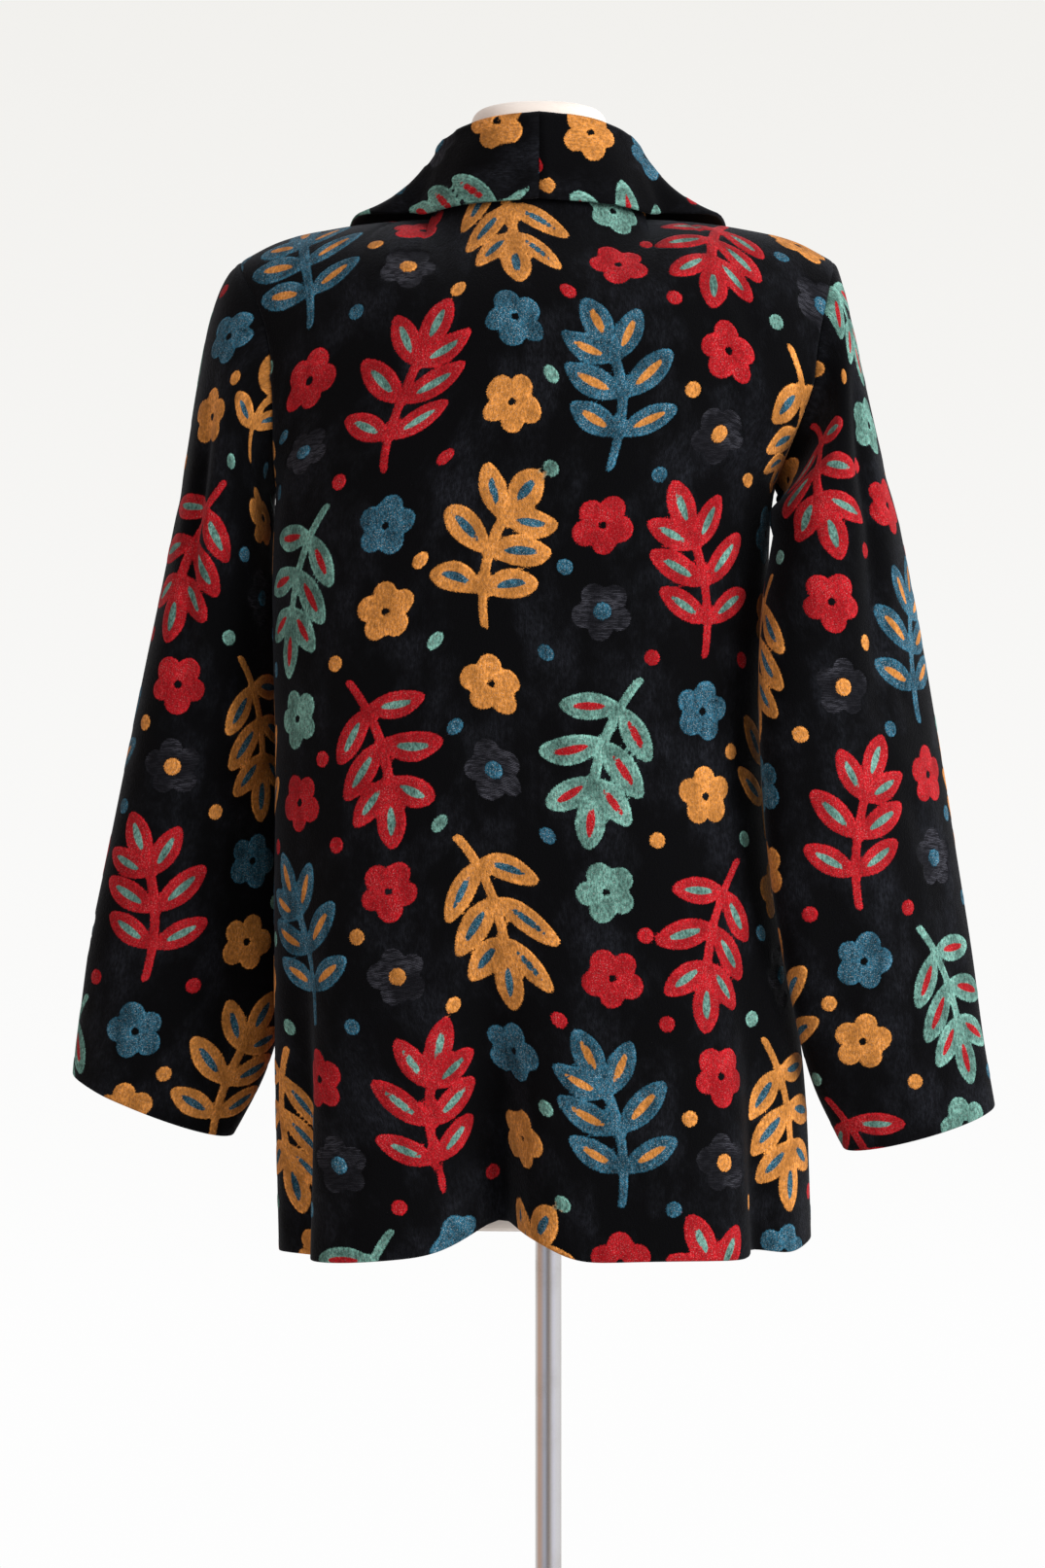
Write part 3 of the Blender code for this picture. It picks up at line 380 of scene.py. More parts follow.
def smooth_through(keys: Array, values: Array, at: Array) -> Array:
    """A smooth curve through given values: a cubic between each two keys, whose slopes agree.

    Args:
        keys: rising or falling places of the values.
        values: one value or vector a key.
        at: the places to read.

    Returns:
        The curve's value at each place.
    """
    keys = np.asarray(keys, float)
    values = np.asarray(values, float)
    if keys[0] > keys[-1]:
        keys, values = keys[::-1], values[::-1]
    at = np.clip(np.asarray(at, float), keys[0], keys[-1])
    slopes = np.gradient(values, keys, axis=0)
    index = np.clip(np.searchsorted(keys, at, side="right") - 1, 0, len(keys) - 2)
    step = keys[index + 1] - keys[index]
    share = (at - keys[index]) / step
    wide = share.shape + (1,) * (values.ndim - 1)
    share, step = share.reshape(wide), step.reshape(wide)
    return between(values, slopes, index, step, share)


def ease(share: Array) -> Array:
    """Rises smoothly from 0 to 1."""
    share = np.clip(share, 0.0, 1.0)
    return share * share * (3 - 2 * share)


def bend(start: Point, middle: Point, end: Point, share: Array) -> Array:
    """A quadratic curve from start to end that heads for middle."""
    share = np.asarray(share, float)[..., None]
    start, middle, end = (np.array(p, float) for p in (start, middle, end))
    return start * (1 - share) ** 2 + 2 * middle * share * (1 - share) + end * share**2


def cubic(first: Array, second: Array, third: Array, fourth: Array, share: Array) -> Array:
    """A cubic curve from first to fourth, led by second and third."""
    share = share[..., None]
    rest = 1 - share
    return (
        first * rest**3
        + 3 * second * rest**2 * share
        + 3 * third * rest * share**2
        + fourth * share**3
    )


def unit(vectors: Array) -> Array:
    """Vectors of length 1."""
    length = np.linalg.norm(vectors, axis=-1, keepdims=True)
    return vectors / np.maximum(length, 1e-9)


def heading(first: Point, last: Point, share: Array, sign: float = 1.0) -> Array:
    """Directions that turn from first to last, mirrored in x where sign is -1."""
    share = np.asarray(share, float)[..., None]
    headings = np.array(first) * (1 - share) + np.array(last) * share
    headings[..., 0] *= sign
    return unit(headings)


def lean_and_place(points: Array) -> Array:
    """Leans the hanging coat and moves it to its place beside the pole's axis."""
    lean = named(LEAN_COLUMNS, LEAN)
    shift = smooth_through(lean["height"], lean["shift"], points[..., 2])
    to_front = ease(points[..., 1] / FRONT_LEAN_DEPTH)
    placed = points.copy()
    placed[..., 0] += COAT_X + shift * (1 + (FRONT_LEAN_SHARE - 1) * to_front)
    return placed


@dataclass(frozen=True)
class BodyCut:
    """The body of the coat as surfaces of two parameters, before it leans.

    A row runs from 0 at the hem through 1 at the underarm and 2 at the blades to 3 at the top.
    """

    def section_at(self, height: Array) -> dict[str, Array]:
        """Half width, depths and opening of the body at a height."""
        body = named(BODY_COLUMNS, BODY_SECTIONS)
        return {
            name: smooth_through(body["height"], body[name], height)
            for name in BODY_COLUMNS[1:]
        }

    def fold_out(self, girth: Array, height: Array) -> tuple[Array, Array]:
        """Sums the folds: each is a bell curve round the girth that fades towards its top.

        Args:
            girth: degrees from the centre back, + to the coat's right.
            height: metres above the floor.

        Returns:
            How far the cloth is pushed out, and how far its hem is lifted.
        """
        out = np.zeros(np.broadcast(girth, height).shape)
        lift = np.zeros_like(out)
        for row in FOLDS:
            fold = dict(zip(FOLD_COLUMNS, row))
            middle = fold["girth"] + fold["drift"] * (height - HEM_Z)
            swell = np.exp(-(((girth - middle) / fold["half_width"]) ** 2))
            ramp = ease((fold["top"] - height) / (fold["top"] - HEM_Z)) ** FOLD_TAPER
            out += fold["depth"] * swell * ramp
            lift += fold["lift"] * swell * ramp**3
        return out, lift

    def row_height(self, row: Array) -> Array:
        """Height of the panel's middle at a row from 0, the hem, to 2, the blades."""
        return np.where(
            row < 1,
            HEM_Z + (UNDERARM_Z - HEM_Z) * row,
            UNDERARM_Z + (BLADE_Z - UNDERARM_Z) * (row - 1),
        )

    def arc_row(
        self, row: Array, turn: Array, sign: Array, armhole_bend: Point, armhole_mid: Point,
        arc_deg: float, depth: Array, facing: float,
    ) -> Array:
        """Points on a panel's row: an elliptical arc from its middle out to the side or armhole.

        Args:
            row: 0 at the hem to 2 at the blades.
            turn: 0 at the panel's middle and 1 at its side.
            sign: -1 or 1, the side of the coat.
            armhole_bend: the point that the armhole's lower curve heads for.
            armhole_mid: the armhole's point at the blades.
            arc_deg: how far round the arc the armhole lies at the blades.
            depth: how far the panel's middle stands from the coat's middle.
            facing: -1 for the back and 1 for the front.

        Returns:
            Points before the coat leans.
        """
        above = np.clip(row - 1, 0, 1)
        height = self.row_height(row)
        half_width = self.section_at(height)["half_width"]
        edge = bend(UNDERARM, armhole_bend, armhole_mid, above)
        edge_x = np.where(row < 1, half_width, edge[..., 0])
        edge_y = np.where(row < 1, 0.0, edge[..., 1])
        edge_z = np.where(row < 1, height, edge[..., 2])
        widest = np.radians(90.0 + (arc_deg - 90.0) * ease(above))
        angle = widest * turn
        push = CORNER_PUSH * (1 - 0.5 * above)
        swell = 1 + push * np.sin(2 * angle) ** 2
        rim = 1 + push * np.sin(2 * widest) ** 2
        across = edge_x * np.sin(angle) / np.sin(widest) * swell / rim
        inwards = (np.cos(angle) - np.cos(widest)) / (1 - np.cos(widest))
        along = edge_y + (facing * depth - edge_y) * inwards * swell
        up = height + (edge_z - height) * (1 - inwards)
        girth = 90.0 * turn if facing < 0 else 180.0 - 90.0 * turn
        out, lift = self.fold_out(sign * girth, height)
        flat_angle = np.pi / 2 * turn
        return np.stack(
            [
                sign * (across + out * np.sin(flat_angle)),
                along + facing * out * np.cos(flat_angle),
                up + lift,
            ],
            axis=-1,
        )

    def shoulder_point(self, share: Array, sign: Array) -> Array:
        """A point on the shoulder seam, from 0 at the neck to 1 at the tip."""
        line = named(SHOULDER_COLUMNS, SHOULDER_LINE)
        x = NECK_HALF_WIDTH + (SHOULDER_X - NECK_HALF_WIDTH) * share
        y = NECK_POINT_Y + (SHOULDER_TIP_Y - NECK_POINT_Y) * share
        return np.stack([sign * x, y, smooth_through(line["x"], line["height"], x)], axis=-1)

    def back_top(self, place: Array) -> Array:
        """The back's top edge: a quarter ellipse round the neck, then the shoulder seam."""
        size = np.abs(place)
        sign = np.where(place < 0, -1.0, 1.0)
        angle = np.pi / 2 * np.clip(size / NECK_SHARE, 0, 1)
        neck = np.stack(
            [
                sign * NECK_HALF_WIDTH * np.sin(angle),
                NECK_POINT_Y - NECK_BACK_DEPTH * np.cos(angle),
                NAPE_Z + (NECK_POINT_Z - NAPE_Z) * (1 - np.cos(angle)),
            ],
            axis=-1,
        )
        share = np.clip((size - NECK_SHARE) / (1 - NECK_SHARE), 0, 1)
        return np.where((size < NECK_SHARE)[..., None], neck, self.shoulder_point(share, sign))

    def back(self, row: Array, place: Array) -> Array:
        """The back: arcs up to the blades, then cubic curves from each arc point to the top.

        Args:
            row: 0 at the hem to 3 at the top.
            place: -1 at the left side to 1 at the right side.

        Returns:
            Points before the coat leans.
        """
        row, place = np.broadcast_arrays(np.asarray(row, float), np.asarray(place, float))
        sign = np.where(place < 0, -1.0, 1.0)
        low = np.minimum(row, 2.0)
        lower = self.arc_row(
            low, np.abs(place), sign, BACK_ARMHOLE_BEND, BACK_ARMHOLE_MID, BACK_ARC_DEG,
            self.section_at(self.row_height(low))["back"], -1.0,
        )
        top = self.back_top(place)
        reach = np.linalg.norm(top - lower, axis=-1, keepdims=True)
        turn_from, turn_over = BACK_YOKE_TURNS
        outward = ease((np.abs(place) - turn_from) / turn_over)
        arriving = heading(BACK_YOKE_AT_NAPE, BACK_YOKE_AT_SHOULDER, outward)
        leave_share, arrive_share = BACK_YOKE_HOLDS
        yoke = cubic(
            lower, lower + leave_share * reach * np.array(BACK_YOKE_LEAVES),
            top - arrive_share * reach * arriving, top, np.clip(row - 2, 0, 1),
        )
        return np.where((row <= 2)[..., None], lower, yoke)

    def front(self, row: Array, place: Array, sign: float) -> Array:
        """One front, made as the back is, but for its open front edge.

        Args:
            row: 0 at the hem to 3 at the shoulder seam.
            place: 0 at the side seam or armhole to 1 at the front edge.
            sign: 1 for the right front and -1 for the left.

        Returns:
            Points before the coat leans.
        """
        row, place = np.broadcast_arrays(np.asarray(row, float), np.asarray(place, float))
        low = np.minimum(row, 2.0)
        section = self.section_at(self.row_height(low))
        above = np.clip(low - 1, 0, 1)
        widest = np.radians(90.0 + (FRONT_ARC_DEG - 90.0) * ease(above))
        edge = bend(UNDERARM, FRONT_ARMHOLE_BEND, FRONT_ARMHOLE_MID, above)
        edge_x = np.where(low < 1, section["half_width"], edge[..., 0])
        inner_turn = np.arcsin(section["opening"] * np.sin(widest) / edge_x) / widest
        turn = 1 + (inner_turn - 1) * place
        lower = self.arc_row(
            low, turn, sign, FRONT_ARMHOLE_BEND, FRONT_ARMHOLE_MID, FRONT_ARC_DEG,
            section["front"], 1.0,
        )
        top = self.shoulder_point(1 - place, sign)
        reach = np.linalg.norm(top - lower, axis=-1, keepdims=True)
        leaving = heading(FRONT_YOKE_LEAVES_ARMHOLE, FRONT_YOKE_LEAVES_EDGE, place, sign)
        arriving = heading(FRONT_YOKE_AT_TIP, FRONT_YOKE_AT_NECK, place, sign)
        leave_share, arrive_share = FRONT_YOKE_HOLDS
        yoke = cubic(
            lower, lower + leave_share * reach * leaving,
            top - arrive_share * reach * arriving, top, np.clip(row - 2, 0, 1),
        )
        return np.where((row <= 2)[..., None], lower, yoke)

    def armhole(self, turn: Array, sign: float) -> Array:
        """The placed armhole seam: 0 under the arm, up the back to 1, down the front to 2."""
        row = np.where(turn <= 1, 1 + 2 * turn, 5 - 2 * turn)
        behind = self.back(row, np.full_like(row, sign))
        ahead = self.front(row, np.zeros_like(row), sign)
        return lean_and_place(np.where((turn <= 1)[..., None], behind, ahead))


@dataclass(frozen=True)
class SleeveCut:
    """A sleeve: a tube of leaning ellipses, joined to its armhole by a cap of cubic curves."""

    body: BodyCut
    side: Side

    def surface(self, along: Array, turn: Array) -> Array:
        """Placed points of the sleeve, with its creases pressed in as bell curves.

        Args:
            along: 0 at the armhole, 1 at the upper arm, 2 at the cuff.
            turn: 0 under the arm, 0.5 behind, 1 outside, 1.5 in front.

        Returns:
            The points.
        """
        along, turn = np.broadcast_arrays(np.asarray(along, float), np.asarray(turn, float))
        sign, head = self.side.value, SLEEVE_HEAD[self.side]
        sleeve = named(SLEEVE_COLUMNS, SLEEVE_SECTIONS[self.side])
        keys = (sleeve["height"][0] - sleeve["height"]) / np.ptp(sleeve["height"])
        share = np.clip(along - 1, 0, 1)
        at = {name: smooth_through(keys, sleeve[name], share) for name in SLEEVE_COLUMNS}
        angle = np.pi * turn
        middle = (at["outer"] + at["inner"]) / 2
        across = -(at["outer"] - at["inner"]) / 2 * np.cos(angle)
        tube = np.stack(
            [
                COAT_X + sign * (middle + across),
                at["middle_y"] - at["half_depth"] * np.sin(angle) + at["skew"] * across,
                at["height"] + at["slope"] * across - CUFF_DIP * share**3 * np.sin(angle),
            ],
            axis=-1,
        )
        root = self.body.armhole(turn, sign)
        reach = np.linalg.norm(tube - root, axis=-1, keepdims=True)
        topness = (1 - np.cos(angle)) / 2
        leaving = heading(CAP_LEAVES_UNDERARM, CAP_LEAVES_SHOULDER, topness, sign)
        leaving[..., 1] *= np.sin(angle)
        arrives = CAP_ARRIVES[self.side]
        arriving = heading(arrives, arrives, topness, sign)
        underarm_share, arrive_share = CAP_HOLDS
        leave_share = (underarm_share + (head - underarm_share) * topness**2)[..., None]
        cap = cubic(
            root, root + leave_share * reach * leaving,
            tube + arrive_share * reach * arriving, tube, np.clip(along, 0, 1),
        )
        whole = np.where((along <= 1)[..., None], cap, tube)
        push = np.stack([sign * -np.cos(angle), -np.sin(angle), np.zeros_like(angle)], axis=-1)
        return whole + self.creased(along, turn)[..., None] * push

    def creased(self, along: Array, turn: Array) -> Array:
        """How far the creases and puffs move the cloth outwards."""
        out = np.zeros(along.shape)
        for row in CREASES:
            crease = dict(zip(CREASE_COLUMNS, row))
            away = turn - crease["round"] - crease["drift"] * (along - crease["start"])
            swell = np.exp(-((away / crease["half_width"]) ** 2))
            middle = (crease["start"] + crease["end"]) / 2
            reach = (crease["end"] - crease["start"]) / 2
            out += crease["depth"] * swell * ease(1 - np.abs(along - middle) / reach)
        return out


@dataclass(frozen=True)
class CollarCut:
    """One half of the shawl collar: hairpin sections up the stand, over the roll and down."""

    body: BodyCut
    side: Side

    def panel_face(
        self, surface: Callable[[Array, Array], Array], row: Array, place: Array
    ) -> tuple[Array, Array]:
        """A point of a panel's outer face, and the normal that points out there."""
        up, down = np.minimum(row + SLOPE_STEP, 3), row - SLOPE_STEP
        ahead, behind = np.minimum(place + SLOPE_STEP, 1), place - SLOPE_STEP
        along = surface(up, place) - surface(down, place)
        across = surface(row, ahead) - surface(row, behind)
        return surface(row, place), unit(np.cross(across, along))

    def root_of(self, along: Array) -> tuple[Array, Array]:
        """Row and side of the collar's root, round the back neck and then down the front edge."""
        behind = along < NECK_SHARE
        row = np.where(behind, 3.0, 3.0 + NECK_SHARE - along)
        return row, np.where(behind, along, 1.0)

    def sections(self, surface: Callable[[Array, Array], Array], rows: tuple) -> Array:
        """Nine points of each of the table's sections that lie on one panel.

        The fall of a section with a stand hangs from its roll to its edge, and bows. One with
        next to no stand, on the chest, lies along the panel instead.

        Args:
            surface: the panel's surface.
            rows: the table's rows.

        Returns:
            Points by place in the section, then by section.
        """
        at = named(COLLAR_COLUMNS, rows)
        stand, roll, bow, lift = (at[n][:, None] for n in ("stand", "roll", "bow", "lift"))
        root_row, root_side = self.root_of(at["along"])
        root, root_out = self.panel_face(surface, root_row, root_side)
        edge, edge_out = self.panel_face(surface, at["edge_row"], at["edge_side"])
        edge = edge + edge_out * lift
        upright = ease(stand / UPRIGHT_STAND)
        round_neck = (root[:, 1] + NECK_BACK_DEPTH) / (2 * NECK_BACK_DEPTH)
        neck_lean = np.stack(
            [
                -STAND_LEANS_IN * np.clip(root[:, 0] / NECK_HALF_WIDTH, 0, 1),
                STAND_LEANS_BACK + STAND_TURNS * ease(round_neck),
                np.ones(len(root)),
            ],
            axis=-1,
        )
        up = unit(unit(neck_lean) * upright + root_out * (1 - upright))
        away = edge - root
        out = unit(away - up * np.sum(away * up, axis=-1, keepdims=True))
        top = root + up * stand
        over = top + 2 * out * roll
        section = [root, (root + top) / 2, top, top + (up + out) * roll, over]
        for share, bowing in FALL_BOW:
            hanging = over + (edge - over) * share + unit(out + up) * bow * bowing
            reach = share + ROLL_REACH * (1 - share)
            row = root_row + (at["edge_row"] - root_row) * reach
            place = root_side + (at["edge_side"] - root_side) * reach
            face, face_out = self.panel_face(surface, row, place)
            section.append(hanging * upright + (face + face_out * lift) * (1 - upright))
        return np.stack(section + [edge])

    def surface(self, along: Array, fall: Array) -> Array:
        """Placed points of the collar's under face.

        The stand is straight, the roll is half a circle, and the fall is a cubic through its
        knots that leaves the roll half turned downwards.

        Args:
            along: 0 at the centre back, 0.4 at the shoulder, to the break.
            fall: 0 at the root, 0.4 and 0.52 at the two ends of the roll, 1 at the edge.

        Returns:
            Points by fall, then by along.
        """
        right_front = partial(self.body.front, sign=1.0)
        behind = self.sections(self.body.back, COLLAR_BACK)
        ahead = self.sections(right_front, COLLAR_FRONT)
        knots = np.moveaxis(np.concatenate([behind, ahead], axis=1), 0, 1)
        keys = [row[0] for row in COLLAR_BACK + COLLAR_FRONT]
        at = smooth_through(keys, knots, along)
        row, place = self.root_of(along)
        root = np.where(
            (along < NECK_SHARE)[:, None], self.body.back(row, place), right_front(row, place)
        )
        fade = 1 - np.array(SECTION_PLACES)
        at = at + (root - at[:, 0])[:, None] * fade[None, :, None]
        at = lean_and_place(at * np.array([self.side.value, 1.0, 1.0]))
        at = np.moveaxis(at, 1, 0)
        fall = fall[:, None, None]
        stand = at[0] + (at[2] - at[0]) * np.clip(fall / STAND_END, 0, 1)
        turn = np.pi * np.clip((fall - STAND_END) / (ROLL_END - STAND_END), 0, 1)
        centre = (at[2] + at[4]) / 2
        roll = centre + (at[2] - centre) * np.cos(turn) + (at[3] - centre) * np.sin(turn)
        down = np.clip((fall - ROLL_END) / (1 - ROLL_END), 0, 1)
        hang = self.hanging(at[4:], centre - at[3], down)
        return np.where(fall <= STAND_END, stand, np.where(fall <= ROLL_END, roll, hang))

    def hanging(self, knots: Array, down: Array, share: Array) -> Array:
        """The fall: cubics between its knots, the first of which starts half turned downwards."""
        step = 1 / (len(knots) - 1)
        slopes = np.gradient(knots, step, axis=0)
        length = np.linalg.norm(slopes[0], axis=-1, keepdims=True)
        slopes[0] = 0.5 * slopes[0] + 0.5 * length * unit(down)
        index = np.clip((share[:, 0, 0] / step).astype(int), 0, len(knots) - 2)
        return between(knots, slopes, index, step, share / step - index[:, None, None])


def surface_normal(points: Array, closed_across: bool = False) -> Array:
    """Normals of a grid of points, as the cross product of its two directions."""
    down = np.gradient(points, axis=0)
    if closed_across:
        across = np.roll(points, -1, axis=1) - np.roll(points, 1, axis=1)
    else:
        across = np.gradient(points, axis=1)
    return unit(np.cross(across, down))


def finer_ends(places: Array, at_start: bool = False, at_end: bool = False) -> Array:
    """Adds the lines of a free edge's rounding to the first or last step of a list of places."""
    shares = np.array(EDGE_LINES)
    if at_start:
        extra = places[0] + (places[1] - places[0]) * shares
        places = np.concatenate([places[:1], extra, places[1:]])
    if at_end:
        extra = places[-1] - (places[-1] - places[-2]) * shares[::-1]
        places = np.concatenate([places[:-1], extra, places[-1:]])
    return places


def panel_rows() -> Array:
    """Row places from the hem to the top, with the same rows on every panel."""
    lower = finer_ends(np.linspace(0, 1, LOWER_STEPS + 1), at_start=True)
    armhole_rows = 1 + np.linspace(0, 1, ARMHOLE_STEPS + 1)[1:]
    yoke = 2 + np.linspace(0, 1, YOKE_STEPS + 1)[1:]
    return np.concatenate([lower, armhole_rows, yoke])


def shoulder_places() -> Array:
    """Places along the shoulder seam on the back, from the neck point to the tip."""
    return finer_ends(np.linspace(NECK_SHARE, 1, SHOULDER_STEPS + 1), at_start=True)


def distances(points: Array, axis: int, weights: Point = (1.0, 1.0, 1.0)) -> Array:
    """Lengths along one direction of a grid from its first line, with each axis weighted."""
    steps = np.linalg.norm(np.diff(points, axis=axis) * np.array(weights), axis=-1)
    zero = np.zeros_like(np.take(steps, [0], axis=axis))
    return np.cumsum(np.concatenate([zero, steps], axis=axis), axis=axis)


def add_mesh(name: str, verts: Array, groups: list[Array], smooth: bool = True) -> bpy.types.Object:
    """A mesh object from arrays.

    Args:
        name: the object's name.
        verts: points, one a row.
        groups: arrays of faces, each with one face a row and its own count of corners.
        smooth: whether the faces are shaded smooth.

    Returns:
        The object, in the scene.
    """
    mesh = bpy.data.meshes.new(name)
    corners = np.concatenate([g.ravel() for g in groups])
    totals = np.concatenate([np.full(len(g), g.shape[1]) for g in groups])
    starts = np.concatenate([[0], np.cumsum(totals)[:-1]])
    mesh.vertices.add(len(verts))
    mesh.vertices.foreach_set("co", verts.astype(np.float32).ravel())
    mesh.loops.add(len(corners))
    mesh.loops.foreach_set("vertex_index", corners.astype(np.int32))
    mesh.polygons.add(len(totals))
    mesh.polygons.foreach_set("loop_start", starts.astype(np.int32))
    mesh.polygons.foreach_set("use_smooth", np.full(len(totals), smooth))
    mesh.update(calc_edges=True)
    mesh.validate()
    piece = bpy.data.objects.new(name, mesh)
    bpy.context.scene.collection.objects.link(piece)
    return piece


def set_attribute(piece: bpy.types.Object, name: str, kind: str, values: Array) -> None:
    """Writes an attribute of a mesh's points."""
    attribute = piece.data.attributes.new(name, kind, "POINT")
    entry = {"FLOAT": "value", "FLOAT_VECTOR": "vector", "FLOAT_COLOR": "color"}[kind]
    attribute.data.foreach_set(entry, values.astype(np.float32).ravel())


@dataclass
class Cloth:
    """A cut piece of cloth as a grid of points on its face, and the wall made from it.

    Attributes:
        name: the piece's name.
        points: the grid on the face.
        outward: the sign that makes the grid's normals point out of the face.
        closed_across: whether each row is a closed ring.
        free: the edges that are hemmed and rounded.
        seams: the edges that are sewn down into a valley.
        shown_inside: whether the pile is on the inner side of the wall, as on a collar's fall.
    """

    name: str
    points: Array
    outward: float
    closed_across: bool = False
    free: tuple[Edge, ...] = ()
    seams: tuple[Edge, ...] = ()
    shown_inside: bool = False
    normals: Array = field(init=False)
    cut: Array = field(init=False)

    def __post_init__(self) -> None:
        """Works out the normals."""
        self.normals = self.outward * surface_normal(self.points, self.closed_across)

    @cached_property
    def from_edge(self) -> dict[Edge, Array]:
        """Each point's distance from each edge, along the grid."""
        down = distances(self.points, 0)
        across = distances(self.points, 1)
        return {
            Edge.FIRST_ROW: down,
            Edge.LAST_ROW: down[-1:] - down,
            Edge.FIRST_COLUMN: across,
            Edge.LAST_COLUMN: across[:, -1:] - across,
        }

    def lay_flat(
        self, across_at: int, down_at: int, grain: Point = (1.0, 1.0, 1.0),
        fall: Point = (1.0, 1.0, 1.0),
    ) -> None:
        """Gives each point its place in the flat cut, in metres.

        Args:
            across_at: the column where the first coordinate is 0.
            down_at: the row where the second coordinate is 0.
            grain: weights of x, y and z in lengths across.
            fall: weights of x, y and z in lengths along.
        """
        across = distances(self.points, 1, grain)
        along = distances(self.points, 0, fall)
        self.cut = np.stack(
            [across - across[:, across_at][:, None], along - along[down_at][None, :]], axis=-1
        )

    def draw_in(self, edge: Edge, gap: float) -> None:
        """Moves an edge's points into the piece by a gap."""
        rows, columns = edge.value
        step = {0: 1, -1: -2}
        inner = (step.get(rows, rows), columns) if isinstance(rows, int) else (rows, step[columns])
        at = self.points[rows, columns]
        self.points[rows, columns] = at + unit(self.points[inner] - at) * gap

    def edge_fade(self, edges: tuple[Edge, ...], width: float) -> Array:
        """Rises from 0 at the given edges to 1 at a width from them."""
        fade = np.ones(self.points.shape[:2])
        for edge in edges:
            fade = fade * ease(self.from_edge[edge] / width)
        return fade

    def press(self, out: Array) -> None:
        """Moves the points out along their normals, but not at the seams."""
        moved = out * self.edge_fade(self.seams, RELIEF_FADE)
        self.points = self.points + self.normals * moved[..., None]

    def rounding(self) -> Array:
        """How far each face sinks towards the wall's middle by a free edge, as a quarter circle."""
        sunk = np.zeros(self.points.shape[:2])
        for edge in self.free:
            near = np.clip(1 - self.from_edge[edge] / EDGE_RADIUS, 0, 1)
            drop = (CLOTH_WALL - EDGE_RIM) / 2 * (1 - np.sqrt(1 - near**2))
            sunk = np.maximum(sunk, drop)
        return sunk

    def valley(self) -> Array:
        """How far the face dips by a seam."""
        dip = np.zeros(self.points.shape[:2])
        for edge in self.seams:
            near = np.clip(1 - self.from_edge[edge] / SEAM_DIP_WIDTH, 0, 1)
            dip = np.maximum(dip, SEAM_DIP * near**2)
        return dip

    def wall(self, relief: Array) -> tuple[Array, Array]:
        """The two faces of the wall, with the relief of the pile raised on the one that shows."""
        rounding = self.rounding()
        shown = relief - self.valley() - rounding
        if self.shown_inside:
            grid_side, far_side = -rounding, CLOTH_WALL + shown
        else:
            grid_side, far_side = shown, CLOTH_WALL - rounding
        first = self.points + self.normals * grid_side[..., None]
        second = self.points - self.normals * far_side[..., None]
        return (second, first) if self.shown_inside else (first, second)

    def build(self, relief: Array) -> bpy.types.Object:
        """Makes the closed wall: its face at full fineness, its back with every second line.

        Args:
            relief: how far the pile stands above the cloth's face at each point.

        Returns:
            The piece, whose first vertices are the face's, row by row.
        """
        face, back = self.wall(relief)
        rows, columns = face.shape[:2]
        back = back[::2, ::2]
        index = np.arange(rows * columns).reshape(rows, columns)
        back_index = np.arange(back[..., 0].size).reshape(back.shape[:2]) + index.size
        if self.closed_across:
            index = np.concatenate([index, index[:, :1]], axis=1)
            back_index = np.concatenate([back_index, back_index[:, :1]], axis=1)
        groups = [quads_of(index), quads_of(back_index)[:, ::-1]]
        rims = [rim_faces(index[0], back_index[0])[:, ::-1], rim_faces(index[-1], back_index[-1])]
        if not self.closed_across:
            rims += [
                rim_faces(index[:, 0], back_index[:, 0]),
                rim_faces(index[:, -1], back_index[:, -1])[:, ::-1],
            ]
        groups.append(np.concatenate(rims))
        verts = np.concatenate([face.reshape(-1, 3), back.reshape(-1, 3)])
        if signed_volume(verts, groups) < 0:
            groups = [g[:, ::-1] for g in groups]
        piece = add_mesh(self.name, verts, groups)
        inner = np.zeros(sum(len(g) for g in groups), np.int32)
        inner[len(groups[0]) : len(groups[0]) + len(groups[1])] = 1
        piece.data.polygons.foreach_set("material_index", inner)
        return piece


def in_place_of(piece: bpy.types.Object, node: str, slot: str) -> bpy.types.Object:
    """Puts a piece on the body in place of its solid, and reports it."""
    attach(piece, "root")
    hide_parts(node)
    LOG.info("%s: %d faces", piece.name, len(piece.data.polygons))
    return piece


def quads_of(index: Array) -> Array:
    """The four-cornered faces of a grid of vertex numbers."""
    ring = [index[:-1, :-1], index[:-1, 1:], index[1:, 1:], index[1:, :-1]]
    return np.stack(ring, axis=-1).reshape(-1, 4)


def rim_faces(fine: Array, coarse: Array) -> Array:
    """Five-cornered faces between an edge and its copy with every second vertex."""
    ring = [fine[:-2:2], fine[1:-1:2], fine[2::2], coarse[1:], coarse[:-1]]
    return np.stack(ring, axis=-1)


def signed_volume(verts: Array, groups: list[Array]) -> float:
    """Six times the volume that the faces enclose, negative where they point inwards."""
    total = 0.0
    for group in groups:
        corner = verts[group]
        for i in range(1, group.shape[1] - 1):
            total += np.einsum("ij,ij->", corner[:, 0], np.cross(corner[:, i], corner[:, i + 1]))
    return total


def closed_loft(name: str, rings: Array, ends: Array) -> bpy.types.Object:
    """A closed body through rings of points, with a fan of faces to a point at each end.

    Args:
        name: the object's name.
        rings: points by ring, from the lowest up, then by place round it.
        ends: the lowest and the highest point.

    Returns:
        The object.
    """
    count, sides = rings[..., 0].size, rings.shape[1]
    index = np.arange(count).reshape(rings.shape[:2])
    index = np.concatenate([index, index[:, :1]], axis=1)
    verts = np.concatenate([rings.reshape(-1, 3), ends])
    bottom = np.stack([index[0, 1:], index[0, :-1], np.full(sides, count)], axis=-1)
    top = np.stack([index[-1, :-1], index[-1, 1:], np.full(sides, count + 1)], axis=-1)
    groups = [quads_of(index), np.concatenate([bottom, top])]
    if signed_volume(verts, groups) < 0:
        groups = [g[:, ::-1] for g in groups]
    return add_mesh(name, verts, groups)


